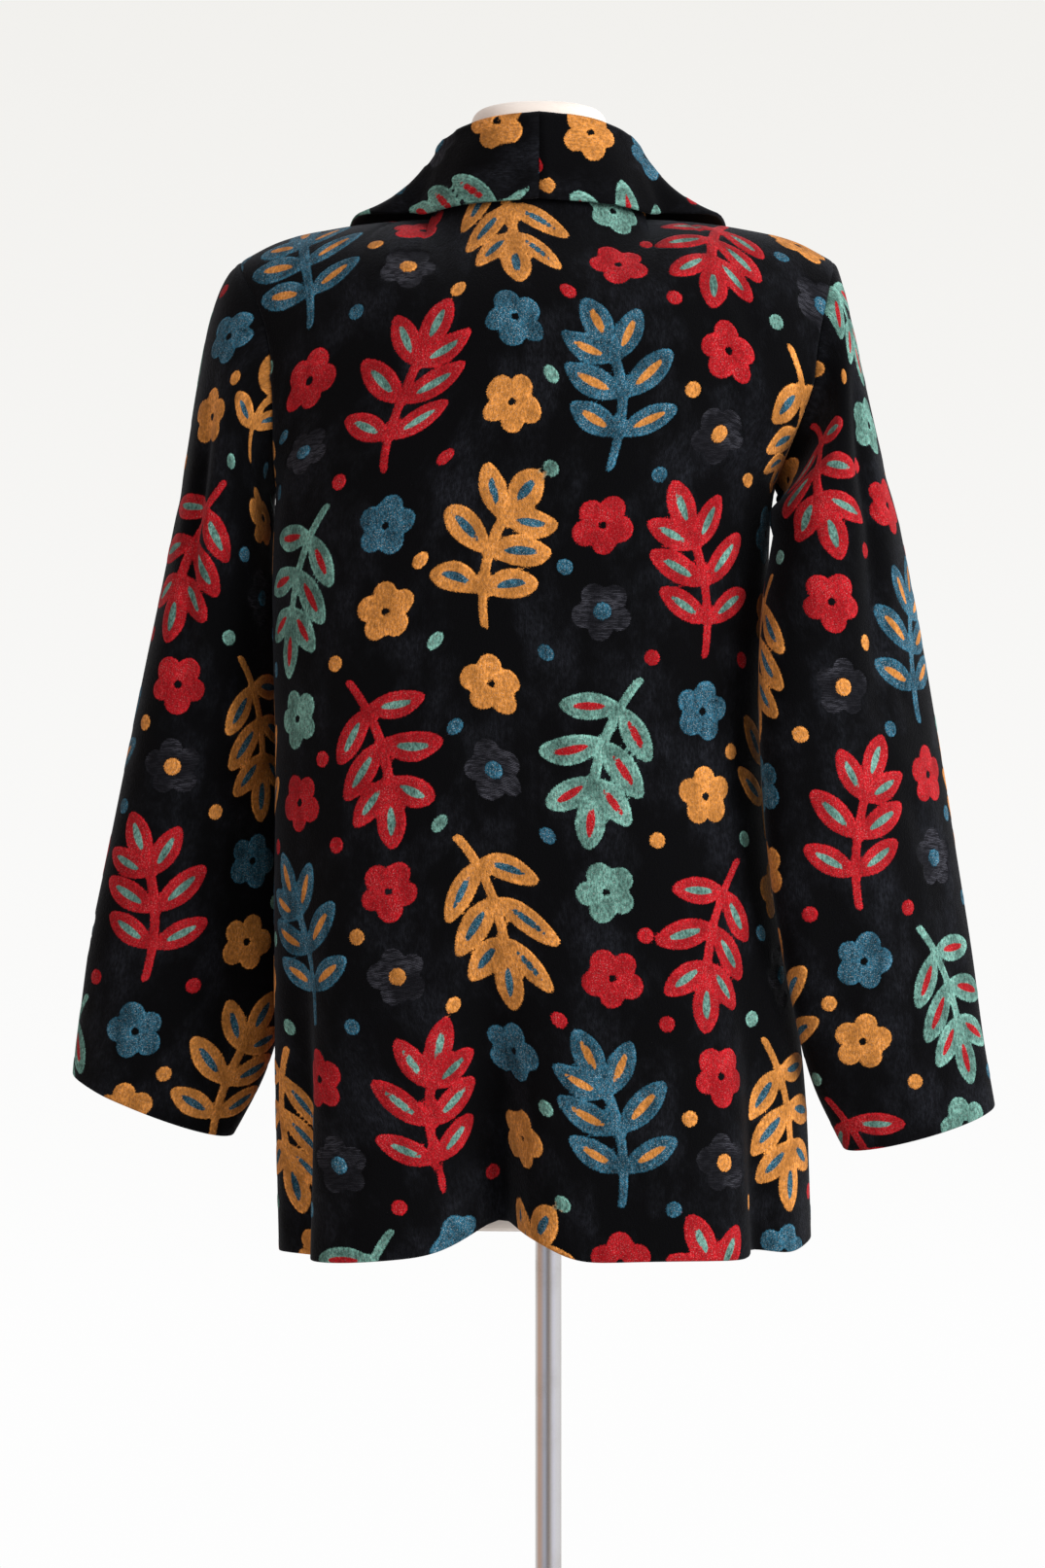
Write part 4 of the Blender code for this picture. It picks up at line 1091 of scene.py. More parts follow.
def share_normals(first: Array, second: Array) -> Array:
    """One normal for each two that meet at a seam."""
    return unit(unit(first) + unit(second))


@dataclass(frozen=True)
class Ripple:
    """A soft ridge or trough pressed into a cloth, in the metres of its flat cut."""

    across: float
    along: float
    heading_deg: float
    length: float
    half_width: float
    depth: float

    def out(self, cut: Array) -> Array:
        """A bell curve across the ripple that fades to nothing at its two ends."""
        turn = math.radians(self.heading_deg)
        x = cut[..., 0] - self.across
        y = cut[..., 1] - self.along
        down = x * math.cos(turn) + y * math.sin(turn)
        aside = -x * math.sin(turn) + y * math.cos(turn)
        fade = ease(1 - np.abs(down) / (self.length / 2))
        return self.depth * np.exp(-((aside / self.half_width) ** 2)) * fade


# How much of an oval's half width goes into rounding its points
OVAL_BLUNT = 0.42


def oval(at: Array, half_length: float, half_width: float) -> Array:
    """Distance from an upright pointed oval, the overlap of two circles with rounded points."""
    blunt = OVAL_BLUNT * half_width
    tall, wide = half_length - blunt, half_width - blunt
    radius = (tall**2 + wide**2) / (2 * wide)
    offset = radius - wide
    x, y = np.abs(at[..., 0]), np.abs(at[..., 1])
    tip = np.hypot(x, y - tall)
    flank = np.hypot(x + offset, y) - radius
    return np.where((y - tall) * offset > x * tall, tip, flank) - blunt


def turned(at: Array, centre: Pair, degrees: float) -> Array:
    """Points seen from a centre whose own up direction is turned by degrees, clockwise."""
    turn = math.radians(degrees)
    x, y = at[..., 0] - centre[0], at[..., 1] - centre[1]
    return np.stack(
        [x * math.cos(turn) - y * math.sin(turn), x * math.sin(turn) + y * math.cos(turn)], axis=-1
    )


def line(at: Array, start: Pair, end: Pair, thick: Point) -> Array:
    """Distance from a straight stem that tapers from the first to the second half width."""
    start, end = np.array(start), np.array(end)
    along = np.clip(((at - start) @ (end - start)) / np.sum((end - start) ** 2), 0, 1)
    nearest = start + along[..., None] * (end - start)
    return np.linalg.norm(at - nearest, axis=-1) - (thick[0] + (thick[1] - thick[0]) * along)


@dataclass(frozen=True)
class Sprig:
    """A sprig of paired oval leaflets on a curved stem, each with a vein of another colour."""

    colour: Hue
    vein: Hue
    centre: Pair
    tilt: float
    curl: float = 0.012
    reach: float = 0.082

    LEAFLETS = (
        (-0.034, 60.0, 0.0205, 0.0094),
        (-0.008, 54.0, 0.0225, 0.0100),
        (0.018, 46.0, 0.0195, 0.0094),
    )
    STEM = (-0.055, 0.036)
    STEM_HALF_WIDTHS = (0.0030, 0.0036)
    TERMINAL = (0.0485, 0.0190, 0.0104)
    VEIN_LENGTH = 0.56
    VEIN_WIDTH = 0.29
    OFF_STEM = 0.0015

    def distances(self, cut: Array) -> tuple[Array, Array]:
        """Distances from the outline and from the veins.

        The stem is a parabola, and each leaf spreads from the parabola's slope at its foot.

        Args:
            cut: flat coordinates in the design's frame.

        Returns:
            The two distances at each point, negative inside.
        """
        at = turned(cut, self.centre, self.tilt)
        bottom, top = self.STEM
        bow = self.curl / bottom**2
        straight = at - np.stack([bow * at[..., 1] ** 2, 0 * at[..., 1]], axis=-1)
        shape = line(straight, (0.0, bottom), (0.0, top), self.STEM_HALF_WIDTHS)
        veins = np.full(at.shape[:-1], 1.0)
        leaves = [(*row, sign) for row in self.LEAFLETS for sign in (-1.0, 1.0)]
        height, half_length, half_width = self.TERMINAL
        leaves.append((height - half_length - self.OFF_STEM, 0.0, half_length, half_width, 1.0))
        for height, spread, half_length, half_width, sign in leaves:
            turn = math.atan(2 * bow * height) + math.radians(sign * spread)
            out = half_length + self.OFF_STEM
            middle = (bow * height**2 + out * math.sin(turn), height + out * math.cos(turn))
            leaf = turned(at, middle, math.degrees(turn))
            shape = np.minimum(shape, oval(leaf, half_length, half_width))
            vein = oval(leaf, half_length * self.VEIN_LENGTH, half_width * self.VEIN_WIDTH)
            veins = np.minimum(veins, vein)
        return shape, veins


@dataclass(frozen=True)
class Blossom:
    """A plain five-petalled flower with a small open eye."""

    colour: Hue
    vein: Hue
    centre: Pair
    tilt: float
    petal: float = 0.0086
    ring: float = 0.0125
    eye: float = 0.0030
    reach: float = 0.032
    open_eye: bool = True

    PETALS = 5
    # The flower's heart as a share of its ring, and how unlike its petals are in size
    HEART = 0.75
    UNEVEN = 0.08

    def distances(self, cut: Array) -> tuple[Array, Array]:
        """Distances from the petals' outline, less the open eye, and from a filled eye."""
        at = turned(cut, self.centre, self.tilt)
        shape = np.linalg.norm(at, axis=-1) - self.ring * self.HEART
        for petal in range(self.PETALS):
            angle = 2 * math.pi * petal / self.PETALS
            middle = np.array([math.sin(angle), math.cos(angle)]) * self.ring
            size = self.petal * (1.0 + self.UNEVEN * math.sin(3 * petal + self.tilt))
            shape = np.minimum(shape, np.linalg.norm(at - middle, axis=-1) - size)
        eye = np.linalg.norm(at, axis=-1) - self.eye
        if self.open_eye:
            return np.maximum(shape, -eye), np.full(shape.shape, 1.0)
        return shape, eye


@dataclass(frozen=True)
class Dot:
    """A round spot."""

    colour: Hue
    vein: Hue
    centre: Pair
    radius: float = 0.0062
    reach: float = 0.016

    def distances(self, cut: Array) -> tuple[Array, Array]:
        """Distance from the spot; it has no vein."""
        shape = np.linalg.norm(cut - np.array(self.centre), axis=-1) - self.radius
        return shape, np.full(shape.shape, 1.0)


@dataclass(frozen=True)
class FiguredVelvet:
    """The woven design: sprigs, blossoms and spots in rows, each row half a step along.

    Attributes:
        across: width of one step of the design.
        along: height between two rows.
    """

    across: float = 0.150
    along: float = 0.126
    spot_radius: float = 0.0056

    # The hues of each step's sprig, its veins, its blossom, its second blossom and its spots
    STEPS = (
        (Hue.GOLD, Hue.BLUE, Hue.RED, None, Hue.TEAL, Hue.BLUE),
        (Hue.RED, Hue.TEAL, Hue.BLUE, Hue.GOLD, Hue.GOLD, Hue.TEAL),
        (Hue.BLUE, Hue.GOLD, Hue.RED, None, Hue.RED, Hue.GOLD),
        (Hue.GOLD, Hue.BLUE, Hue.TEAL, Hue.RED, Hue.BLUE, Hue.RED),
        (Hue.RED, Hue.TEAL, Hue.GOLD, None, Hue.TEAL, Hue.BLUE),
        (Hue.TEAL, Hue.RED, Hue.BLUE, Hue.GOLD, Hue.RED, Hue.GOLD),
    )
    ROW_SHIFT = 2
    TILTS = (17.0, -14.0, 166.0, -162.0)
    CURLS = (0.012, -0.011)
    FIRST_BLOSSOM = (0.0755, 0.0300)
    SECOND_BLOSSOM = (0.0765, -0.0290)
    UPPER_SPOTS = ((0.0370, 0.0655), (-0.0370, 0.0655))
    SIDE_SPOTS = ((0.0505, 0.0010), (0.1010, 0.0000))
    # Degrees by which each kind of blossom turns from one step to the next
    FIRST_TURN, GHOST_TURN, SECOND_TURN = 17.0, 31.0, 23.0
    SECOND_START = 40.0
    # The distance that stands for no motif near
    FAR = 0.02

    def motifs(self, low: Array, high: Array) -> tuple[list, list]:
        """The motifs that reach into a piece's flat cut.

        Args:
            low: the cut's lowest coordinates, in the design's own frame.
            high: its highest.

        Returns:
            The coloured motifs and the voided grey blossoms.
        """
        coloured, ghosts = [], []
        rows = range(math.floor(low[1] / self.along) - 1, math.ceil(high[1] / self.along) + 2)
        for row in rows:
            start = self.across * 0.5 * (row % 2)
            first = math.floor((low[0] - start) / self.across) - 1
            last = math.ceil((high[0] - start) / self.across) + 2
            for step in range(first, last):
                x, y = start + step * self.across, row * self.along
                turn = step - row // 2 + self.ROW_SHIFT * row
                leaf, vein, flower, second, spot, other = self.STEPS[turn % len(self.STEPS)]
                tilt = self.TILTS[(step + row) % len(self.TILTS)]
                curl = self.CURLS[(step + row) % len(self.CURLS)]
                coloured.append(Sprig(leaf, vein, (x, y), tilt, curl))
                dx, dy = self.FIRST_BLOSSOM
                coloured.append(Blossom(flower, vein, (x + dx, y + dy), self.FIRST_TURN * turn))
                dx, dy = self.SECOND_BLOSSOM
                place = (x + dx, y + dy)
                if second is None:
                    tilt = self.GHOST_TURN * turn
                    ghosts.append(Blossom(other, other, place, tilt, open_eye=False))
                    coloured.append(Dot(other, vein, place))
                else:
                    tilt = self.SECOND_START - self.SECOND_TURN * turn
                    coloured.append(Blossom(second, spot, place, tilt))
                for (dx, dy), hue in zip(self.UPPER_SPOTS, (spot, flower)):
                    coloured.append(Dot(hue, vein, (x + dx, y + dy), self.spot_radius))
                dx, dy = self.SIDE_SPOTS[turn % 2]
                coloured.append(Dot(other, vein, (x + dx, y + dy), self.spot_radius))
        return coloured, ghosts

    def near(self, flat: Array, shape: Sprig | Blossom | Dot) -> Array:
        """The numbers of the points within a motif's reach."""
        away = np.max(np.abs(flat - np.array(shape.centre)), axis=1)
        return np.flatnonzero(away < shape.reach)

    def read(self, cut: Array) -> dict[str, Array]:
        """Reads the design at points of a cut.

        Args:
            cut: flat coordinates in the design's own frame, in metres.

        Returns:
            Distances from the motifs, veins and ghosts, and the colours of motif and vein.
        """
        flat = cut.reshape(-1, 2)
        coloured, ghosts = self.motifs(flat.min(0), flat.max(0))
        far = np.full(len(flat), self.FAR)
        motif, vein, ghost = far.copy(), far.copy(), far.copy()
        motif_colour = np.zeros((len(flat), 4)) + 1.0
        vein_colour = np.zeros((len(flat), 4)) + 1.0
        for shape in coloured:
            near = self.near(flat, shape)
            if not len(near):
                continue
            outline, inner = shape.distances(flat[near])
            closer = outline < motif[near]
            at = near[closer]
            motif[at] = outline[closer]
            vein[at] = inner[closer]
            motif_colour[at] = shape.colour.value
            vein_colour[at] = shape.vein.value
        for shape in ghosts:
            near = self.near(flat, shape)
            if len(near):
                ghost[near] = np.minimum(ghost[near], shape.distances(flat[near])[0])
        shape = cut.shape[:-1]
        return {
            "motif": motif.reshape(shape),
            "vein": vein.reshape(shape),
            "ghost": ghost.reshape(shape),
            "motif_colour": motif_colour.reshape(shape + (4,)),
            "vein_colour": vein_colour.reshape(shape + (4,)),
        }


class Graph:
    """The nodes of a material or a world, added and linked in one call each."""

    def __init__(self, tree: bpy.types.NodeTree) -> None:
        """Takes over a node tree."""
        self.tree = tree

    def add(self, kind: str, inputs: dict | None = None, **settings: object) -> bpy.types.Node:
        """Adds a node.

        Args:
            kind: the node's type.
            inputs: a value or an output for each named or numbered input.
            settings: the node's own properties.

        Returns:
            The node.
        """
        node = self.tree.nodes.new(kind)
        for name, value in settings.items():
            setattr(node, name, value)
        for name, value in (inputs or {}).items():
            self.put(node.inputs[name], value)
        return node

    def put(self, socket: bpy.types.NodeSocket, value: object) -> None:
        """Links an output to a socket, or sets its value."""
        if isinstance(value, bpy.types.NodeSocket):
            self.tree.links.new(value, socket)
        else:
            socket.default_value = value

    def math(self, operation: str, first: object, second: object = 0.0, clamp: bool = False) -> object:
        """The result of a Math node."""
        node = self.add("ShaderNodeMath", {0: first, 1: second}, operation=operation)
        node.use_clamp = clamp
        return node.outputs[0]

    def ramp(self, value: object, low: float, high: float, to_low: float, to_high: float) -> object:
        """A value mapped smoothly from one range to another."""
        node = self.add(
            "ShaderNodeMapRange",
            {"Value": value, "From Min": low, "From Max": high, "To Min": to_low, "To Max": to_high},
            interpolation_type="SMOOTHSTEP",
        )
        return node.outputs[0]

    def mix(self, share: object, first: object, second: object, blend: str = "MIX") -> object:
        """Two colours mixed."""
        node = self.add("ShaderNodeMix", data_type="RGBA", blend_type=blend)
        self.put(node.inputs[0], share)
        self.put(node.inputs[6], first)
        self.put(node.inputs[7], second)
        return node.outputs[2]

    def noise(self, place: object, scale: float, detail: float = 2.0, rough: float = 0.5) -> object:
        """The value of a noise at a place."""
        node = self.add(
            "ShaderNodeTexNoise",
            {"Vector": place, "Scale": scale, "Detail": detail, "Roughness": rough},
        )
        return node.outputs["Fac"]

    def bands(self, place: object, axis: str, scale: float, values: dict[str, float]) -> object:
        """The value of a wave whose bands lie across an axis."""
        inputs = {"Vector": place, "Scale": scale, **values}
        node = self.add("ShaderNodeTexWave", inputs, wave_type="BANDS", bands_direction=axis)
        return node.outputs["Fac"]

    def stretched(self, place: object, scale: Point) -> object:
        """A place stretched along its axes."""
        return self.add("ShaderNodeMapping", {"Vector": place, "Scale": scale}).outputs[0]

    def attribute(self, name: str, output: str = "Fac") -> object:
        """An attribute of the piece."""
        return self.add("ShaderNodeAttribute", attribute_name=name).outputs[output]

    def bump(self, height: object, distance: float, strength: float, under: object = None) -> object:
        """A bumped normal, on top of another where one is given."""
        node = self.add(
            "ShaderNodeBump", {"Height": height, "Distance": distance, "Strength": strength}
        )
        if under is not None:
            self.put(node.inputs["Normal"], under)
        return node.outputs[0]

    def finish(self, values: dict) -> None:
        """Sets or links the shader's inputs."""
        for name, value in values.items():
            self.put(self.tree.nodes["Principled BSDF"].inputs[name], value)


def new_material(name: str) -> tuple[bpy.types.Material, Graph]:
    """A material and its nodes."""
    material = bpy.data.materials.new(name)
    material.use_nodes = True
    return material, Graph(material.node_tree)


def rgb(colour: Colour) -> tuple[float, float, float, float]:
    """A colour with full alpha."""
    return (*colour, 1.0)


@dataclass(frozen=True)
class CutVelvet:
    """Cut velvet: a black pile ground, dyed pile motifs, and voided blossoms of bare threads."""

    name: str = "figured_velvet"
    ground: Colour = (0.0022, 0.0022, 0.0025)
    # painted sheen: the colour of the black ground where its nap catches the light
    ground_lit: Colour = (0.0150, 0.0162, 0.0205)
    thread: Colour = (0.060, 0.060, 0.072)
    thread_gap: Colour = (0.0050, 0.0050, 0.0062)
    # painted sparkle: the pale colour of the glints of sheen on the pile's yarn
    sheen_fleck: Colour = (0.80, 0.78, 0.72)
    # How ragged the pile is at a motif's edge, how much less so at a vein's, and how soft
    fuzz: float = 0.0013
    vein_fuzz: float = 0.45
    soft_edge: float = 0.0003
    # Waves of each size to a metre, from the finest to the clouds of painted sheen on the crushed nap
    grain_scale: float = 1100.0
    tuft_scale: float = 620.0
    thread_scale: float = 290.0
    nap_scale: float = 75.0
    crushed_nap_sheen_scale: float = 21.0
    # Heights of the pile, of the groove round a motif and of a bare thread
    pile_height: float = 0.0010
    groove_depth: float = 0.0006
    thread_height: float = 0.0004

    def mask(self, g: Graph, distance: object, fuzz: object) -> object:
        """1 inside an outline and 0 outside, with an edge ragged by the pile."""
        ragged = g.math("ADD", distance, fuzz)
        return g.ramp(ragged, -self.soft_edge, self.soft_edge, 1.0, 0.0)

    def material(self) -> bpy.types.Material:
        """Builds the material from the cloth's cut and the design's distances."""
        material, g = new_material(self.name)
        cut = g.attribute("cut", "Vector")
        grain = g.noise(cut, self.grain_scale, 1.0, 0.6)
        tuft = g.noise(g.stretched(cut, (1.0, 0.5, 1.0)), self.tuft_scale, 2.0, 0.65)
        nap = g.noise(g.stretched(cut, (1.0, 0.5, 1.0)), self.nap_scale, 3.0, 0.6)
        fuzz = g.math("MULTIPLY", g.math("SUBTRACT", grain, 0.5), 2 * self.fuzz)
        motif = g.attribute("motif")
        in_motif = self.mask(g, motif, fuzz)
        fine_fuzz = g.math("MULTIPLY", fuzz, self.vein_fuzz)
        in_vein = g.math("MULTIPLY", self.mask(g, g.attribute("vein"), fine_fuzz), in_motif)
        free_of_motif = g.math("SUBTRACT", 1.0, in_motif, clamp=True)
        in_ghost = g.math("MULTIPLY", self.mask(g, g.attribute("ghost"), fuzz), free_of_motif)
        threads = self.threads(g, cut)
        voided = g.mix(threads, rgb(self.thread_gap), rgb(self.thread))
        pile = self.pile(g, motif, in_vein, (grain, tuft, nap))
        colour = g.mix(in_ghost, g.mix(in_motif, self.black(g, cut, tuft), pile), voided)
        height = g.math("ADD", g.math("MULTIPLY", tuft, 0.6), g.math("MULTIPLY", grain, 0.4))
        normal = g.bump(height, self.pile_height, 0.9)
        groove = g.ramp(g.math("ABSOLUTE", motif), 0.0, 0.0014, 0.0, 1.0)
        normal = g.bump(groove, self.groove_depth, 0.6, normal)
        bare = g.math("MULTIPLY", threads, in_ghost)
        normal = g.bump(bare, self.thread_height, 0.6, normal)
        g.finish({
            "Base Color": colour,
            "Roughness": 0.85,
            "Specular IOR Level": 0.05,
            "Sheen Weight": 0.07,
            "Sheen Roughness": 0.36,
            "Sheen Tint": (0.84, 0.90, 1.0, 1.0),
            "Normal": normal,
        })
        return material

    def black(self, g: Graph, cut: object, tuft: object) -> object:
        """The black ground, with painted sheen: lighter clouds where the crushed nap lies over, and
        painted glints on its weave.
        """
        # painted sheen: clouds of crushed nap and glints on the weave lighten the ground towards its lit
        # colour
        leaning = g.noise(g.stretched(cut, (1.0, 0.6, 1.0)), self.crushed_nap_sheen_scale, 4.0, 0.62)
        crushed_nap_sheen = g.ramp(leaning, 0.44, 0.72, 0.0, 1.0)
        warp = g.bands(cut, "X", self.thread_scale, {"Distortion": 1.5, "Detail": 1.0})
        broken = g.noise(g.stretched(cut, (1.0, 0.4, 1.0)), 420.0, 1.0)
        glint = g.math("MULTIPLY", warp, g.ramp(broken, 0.40, 0.70, 0.0, 1.0))
        cloud = g.math("MULTIPLY", crushed_nap_sheen, g.ramp(tuft, 0.30, 0.75, 0.15, 0.60))
        lit = g.math("ADD", cloud, g.math("MULTIPLY", glint, g.math("MULTIPLY", crushed_nap_sheen, 0.75)))
        return g.mix(lit, rgb(self.ground), rgb(self.ground_lit))

    def pile(self, g: Graph, motif: object, in_vein: object, noises: tuple) -> object:
        """The dyed pile: painted sheen and shade from its nap and tufts mixed with their random tone, a
        painted highlight at a motif's rim, and painted sparkles of sheen.
        """
        grain, tuft, nap = noises
        dyed = [
            g.add("ShaderNodeAttribute", attribute_name=name) for name in ("motif_colour", "vein_colour")
        ]
        dye = g.mix(in_vein, dyed[0].outputs["Color"], dyed[1].outputs["Color"])
        strength = g.mix(in_vein, dyed[0].outputs["Alpha"], dyed[1].outputs["Alpha"])
        # painted highlight: the pile is lighter within a few millimetres of a motif's rim
        rim = g.ramp(motif, -0.0026, -0.0002, 1.0, 1.42)
        # painted sheen and shade mixed with random tone: the tufts and the nap lighten and darken the dye
        tuft_tone_and_sheen = g.ramp(tuft, 0.28, 0.74, 0.42, 1.62)
        nap_tone_and_sheen = g.ramp(nap, 0.30, 0.70, 0.55, 1.55)
        shade = g.math("MULTIPLY", g.math("MULTIPLY", tuft_tone_and_sheen, nap_tone_and_sheen), rim)
        eased = g.add("ShaderNodeMix", data_type="FLOAT")
        for socket, value in ((0, strength), (2, 1.0), (3, shade)):
            g.put(eased.inputs[socket], value)
        tone = g.add(
            "ShaderNodeCombineColor", {name: eased.outputs[0] for name in ("Red", "Green", "Blue")}
        ).outputs[0]
        shaded = g.mix(1.0, dye, tone, "MULTIPLY")
        # painted sparkles of sheen: pale points of light on the yarn
        sheen_sparkle = g.ramp(grain, 0.54, 0.78, 0.0, 0.52)
        sheen_fleck = g.math("MULTIPLY", sheen_sparkle, g.ramp(nap, 0.35, 0.75, 0.3, 1.0))
        return g.mix(g.math("MULTIPLY", sheen_fleck, strength), shaded, rgb(self.sheen_fleck))

    def threads(self, g: Graph, cut: object) -> object:
        """The bare crosswise threads of a voided blossom, wavering, broken and faded in patches."""
        wavering = {"Distortion": 4.5, "Detail": 2.0, "Detail Scale": 1.4}
        wave = g.bands(cut, "Y", self.thread_scale, wavering)
        broken = g.noise(g.stretched(cut, (0.5, 1.6, 1.0)), 300.0, 1.0)
        faded = g.ramp(g.noise(cut, 38.0, 1.0), 0.38, 0.62, 0.15, 1.0)
        unbroken = g.math("MULTIPLY", wave, g.ramp(broken, 0.35, 0.62, 0.15, 1.0))
        return g.math("MULTIPLY", unbroken, faded)


@dataclass(frozen=True)
class ClothBack:
    """The plain black woven back of the velvet, seen inside the coat."""

    name: str = "velvet_back"
    warp: Colour = (0.010, 0.010, 0.012)
    weft: Colour = (0.022, 0.022, 0.026)
    weave_scale: float = 420.0

    def material(self) -> bpy.types.Material:
        """Builds a close plain weave on the cloth's cut."""
        material, g = new_material(self.name)
        cut = g.attribute("cut", "Vector")
        bands = [g.bands(cut, axis, self.weave_scale, {"Distortion": 0.6}) for axis in ("X", "Y")]
        weave = g.math("MULTIPLY", *bands)
        cloudy = g.noise(cut, 40.0, 3.0)
        colour = g.mix(g.math("MULTIPLY", weave, cloudy), rgb(self.warp), rgb(self.weft))
        g.finish({
            "Base Color": colour,
            "Roughness": 0.78,
            "Specular IOR Level": 0.25,
            "Normal": g.bump(weave, 0.0003, 0.5),
        })
        return material


@dataclass(frozen=True)
class JerseyCover:
    """Cream jersey stretched over the form: fine ribs of stitches, faint clouds and rubbed spots."""

    name: str = "form_jersey"
    pale: Colour = (0.86, 0.79, 0.71)
    deep: Colour = (0.74, 0.66, 0.58)
    rib_scale: float = 330.0

    def material(self) -> bpy.types.Material:
        """Builds the material on Object coordinates."""
        material, g = new_material(self.name)
        place = g.add("ShaderNodeTexCoord").outputs["Object"]
        rib = g.bands(place, "Z", self.rib_scale, {"Distortion": 1.2, "Detail": 1.0})
        cloud = g.noise(place, 14.0, 4.0)
        lint = g.noise(place, 900.0, 2.0)
        colour = g.mix(g.ramp(cloud, 0.35, 0.70, 0.0, 1.0), rgb(self.pale), rgb(self.deep))
        colour = g.mix(g.ramp(lint, 0.55, 0.80, 0.0, 0.35), colour, rgb(self.deep))
        height = g.math("ADD", g.math("MULTIPLY", rib, 0.5), g.math("MULTIPLY", lint, 0.5))
        g.finish({
            "Base Color": colour,
            "Roughness": 0.72,
            "Specular IOR Level": 0.28,
            "Sheen Weight": 0.12,
            "Sheen Roughness": 0.5,
            "Normal": g.bump(height, 0.0004, 0.45),
        })
        return material


@dataclass(frozen=True)
class PolishedTube:
    """Polished steel with a faint lengthwise draw, fingerprints and dull specks."""

    name: str = "polished_tube"
    colour: Colour = (0.60, 0.59, 0.60)

    def material(self) -> bpy.types.Material:
        """Builds the material on Object coordinates."""
        material, g = new_material(self.name)
        place = g.add("ShaderNodeTexCoord").outputs["Object"]
        drawn = g.noise(g.stretched(place, (1.0, 1.0, 0.03)), 900.0, 2.0)
        smudge = g.noise(place, 28.0, 4.0, 0.6)
        tone = g.mix(g.ramp(smudge, 0.45, 0.75, 0.0, 0.5), rgb(self.colour), (0.50, 0.48, 0.46, 1.0))
        rough = g.math("ADD", g.ramp(smudge, 0.40, 0.75, 0.13, 0.26), g.math("MULTIPLY", drawn, 0.06))
        g.finish({
            "Base Color": tone,
            "Metallic": 1.0,
            "Roughness": rough,
            "Normal": g.bump(drawn, 0.0001, 0.12),
        })
        return material


@dataclass(frozen=True)
class SatinEnamel:
    """Pale grey enamel on the base plate, with a fine orange peel and patches of dust."""

    name: str = "satin_enamel"
    colour: Colour = (0.52, 0.52, 0.53)

    def material(self) -> bpy.types.Material:
        """Builds the material on Object coordinates."""
        material, g = new_material(self.name)
        place = g.add("ShaderNodeTexCoord").outputs["Object"]
        peel = g.noise(place, 420.0, 2.0)
        dust = g.noise(place, 60.0, 5.0, 0.65)
        colour = g.mix(g.ramp(dust, 0.50, 0.80, 0.0, 0.30), rgb(self.colour), (0.66, 0.65, 0.63, 1.0))
        g.finish({
            "Base Color": colour,
            "Metallic": 0.35,
            "Roughness": g.ramp(dust, 0.40, 0.80, 0.34, 0.52),
            "Normal": g.bump(peel, 0.0003, 0.15),
        })
        return material


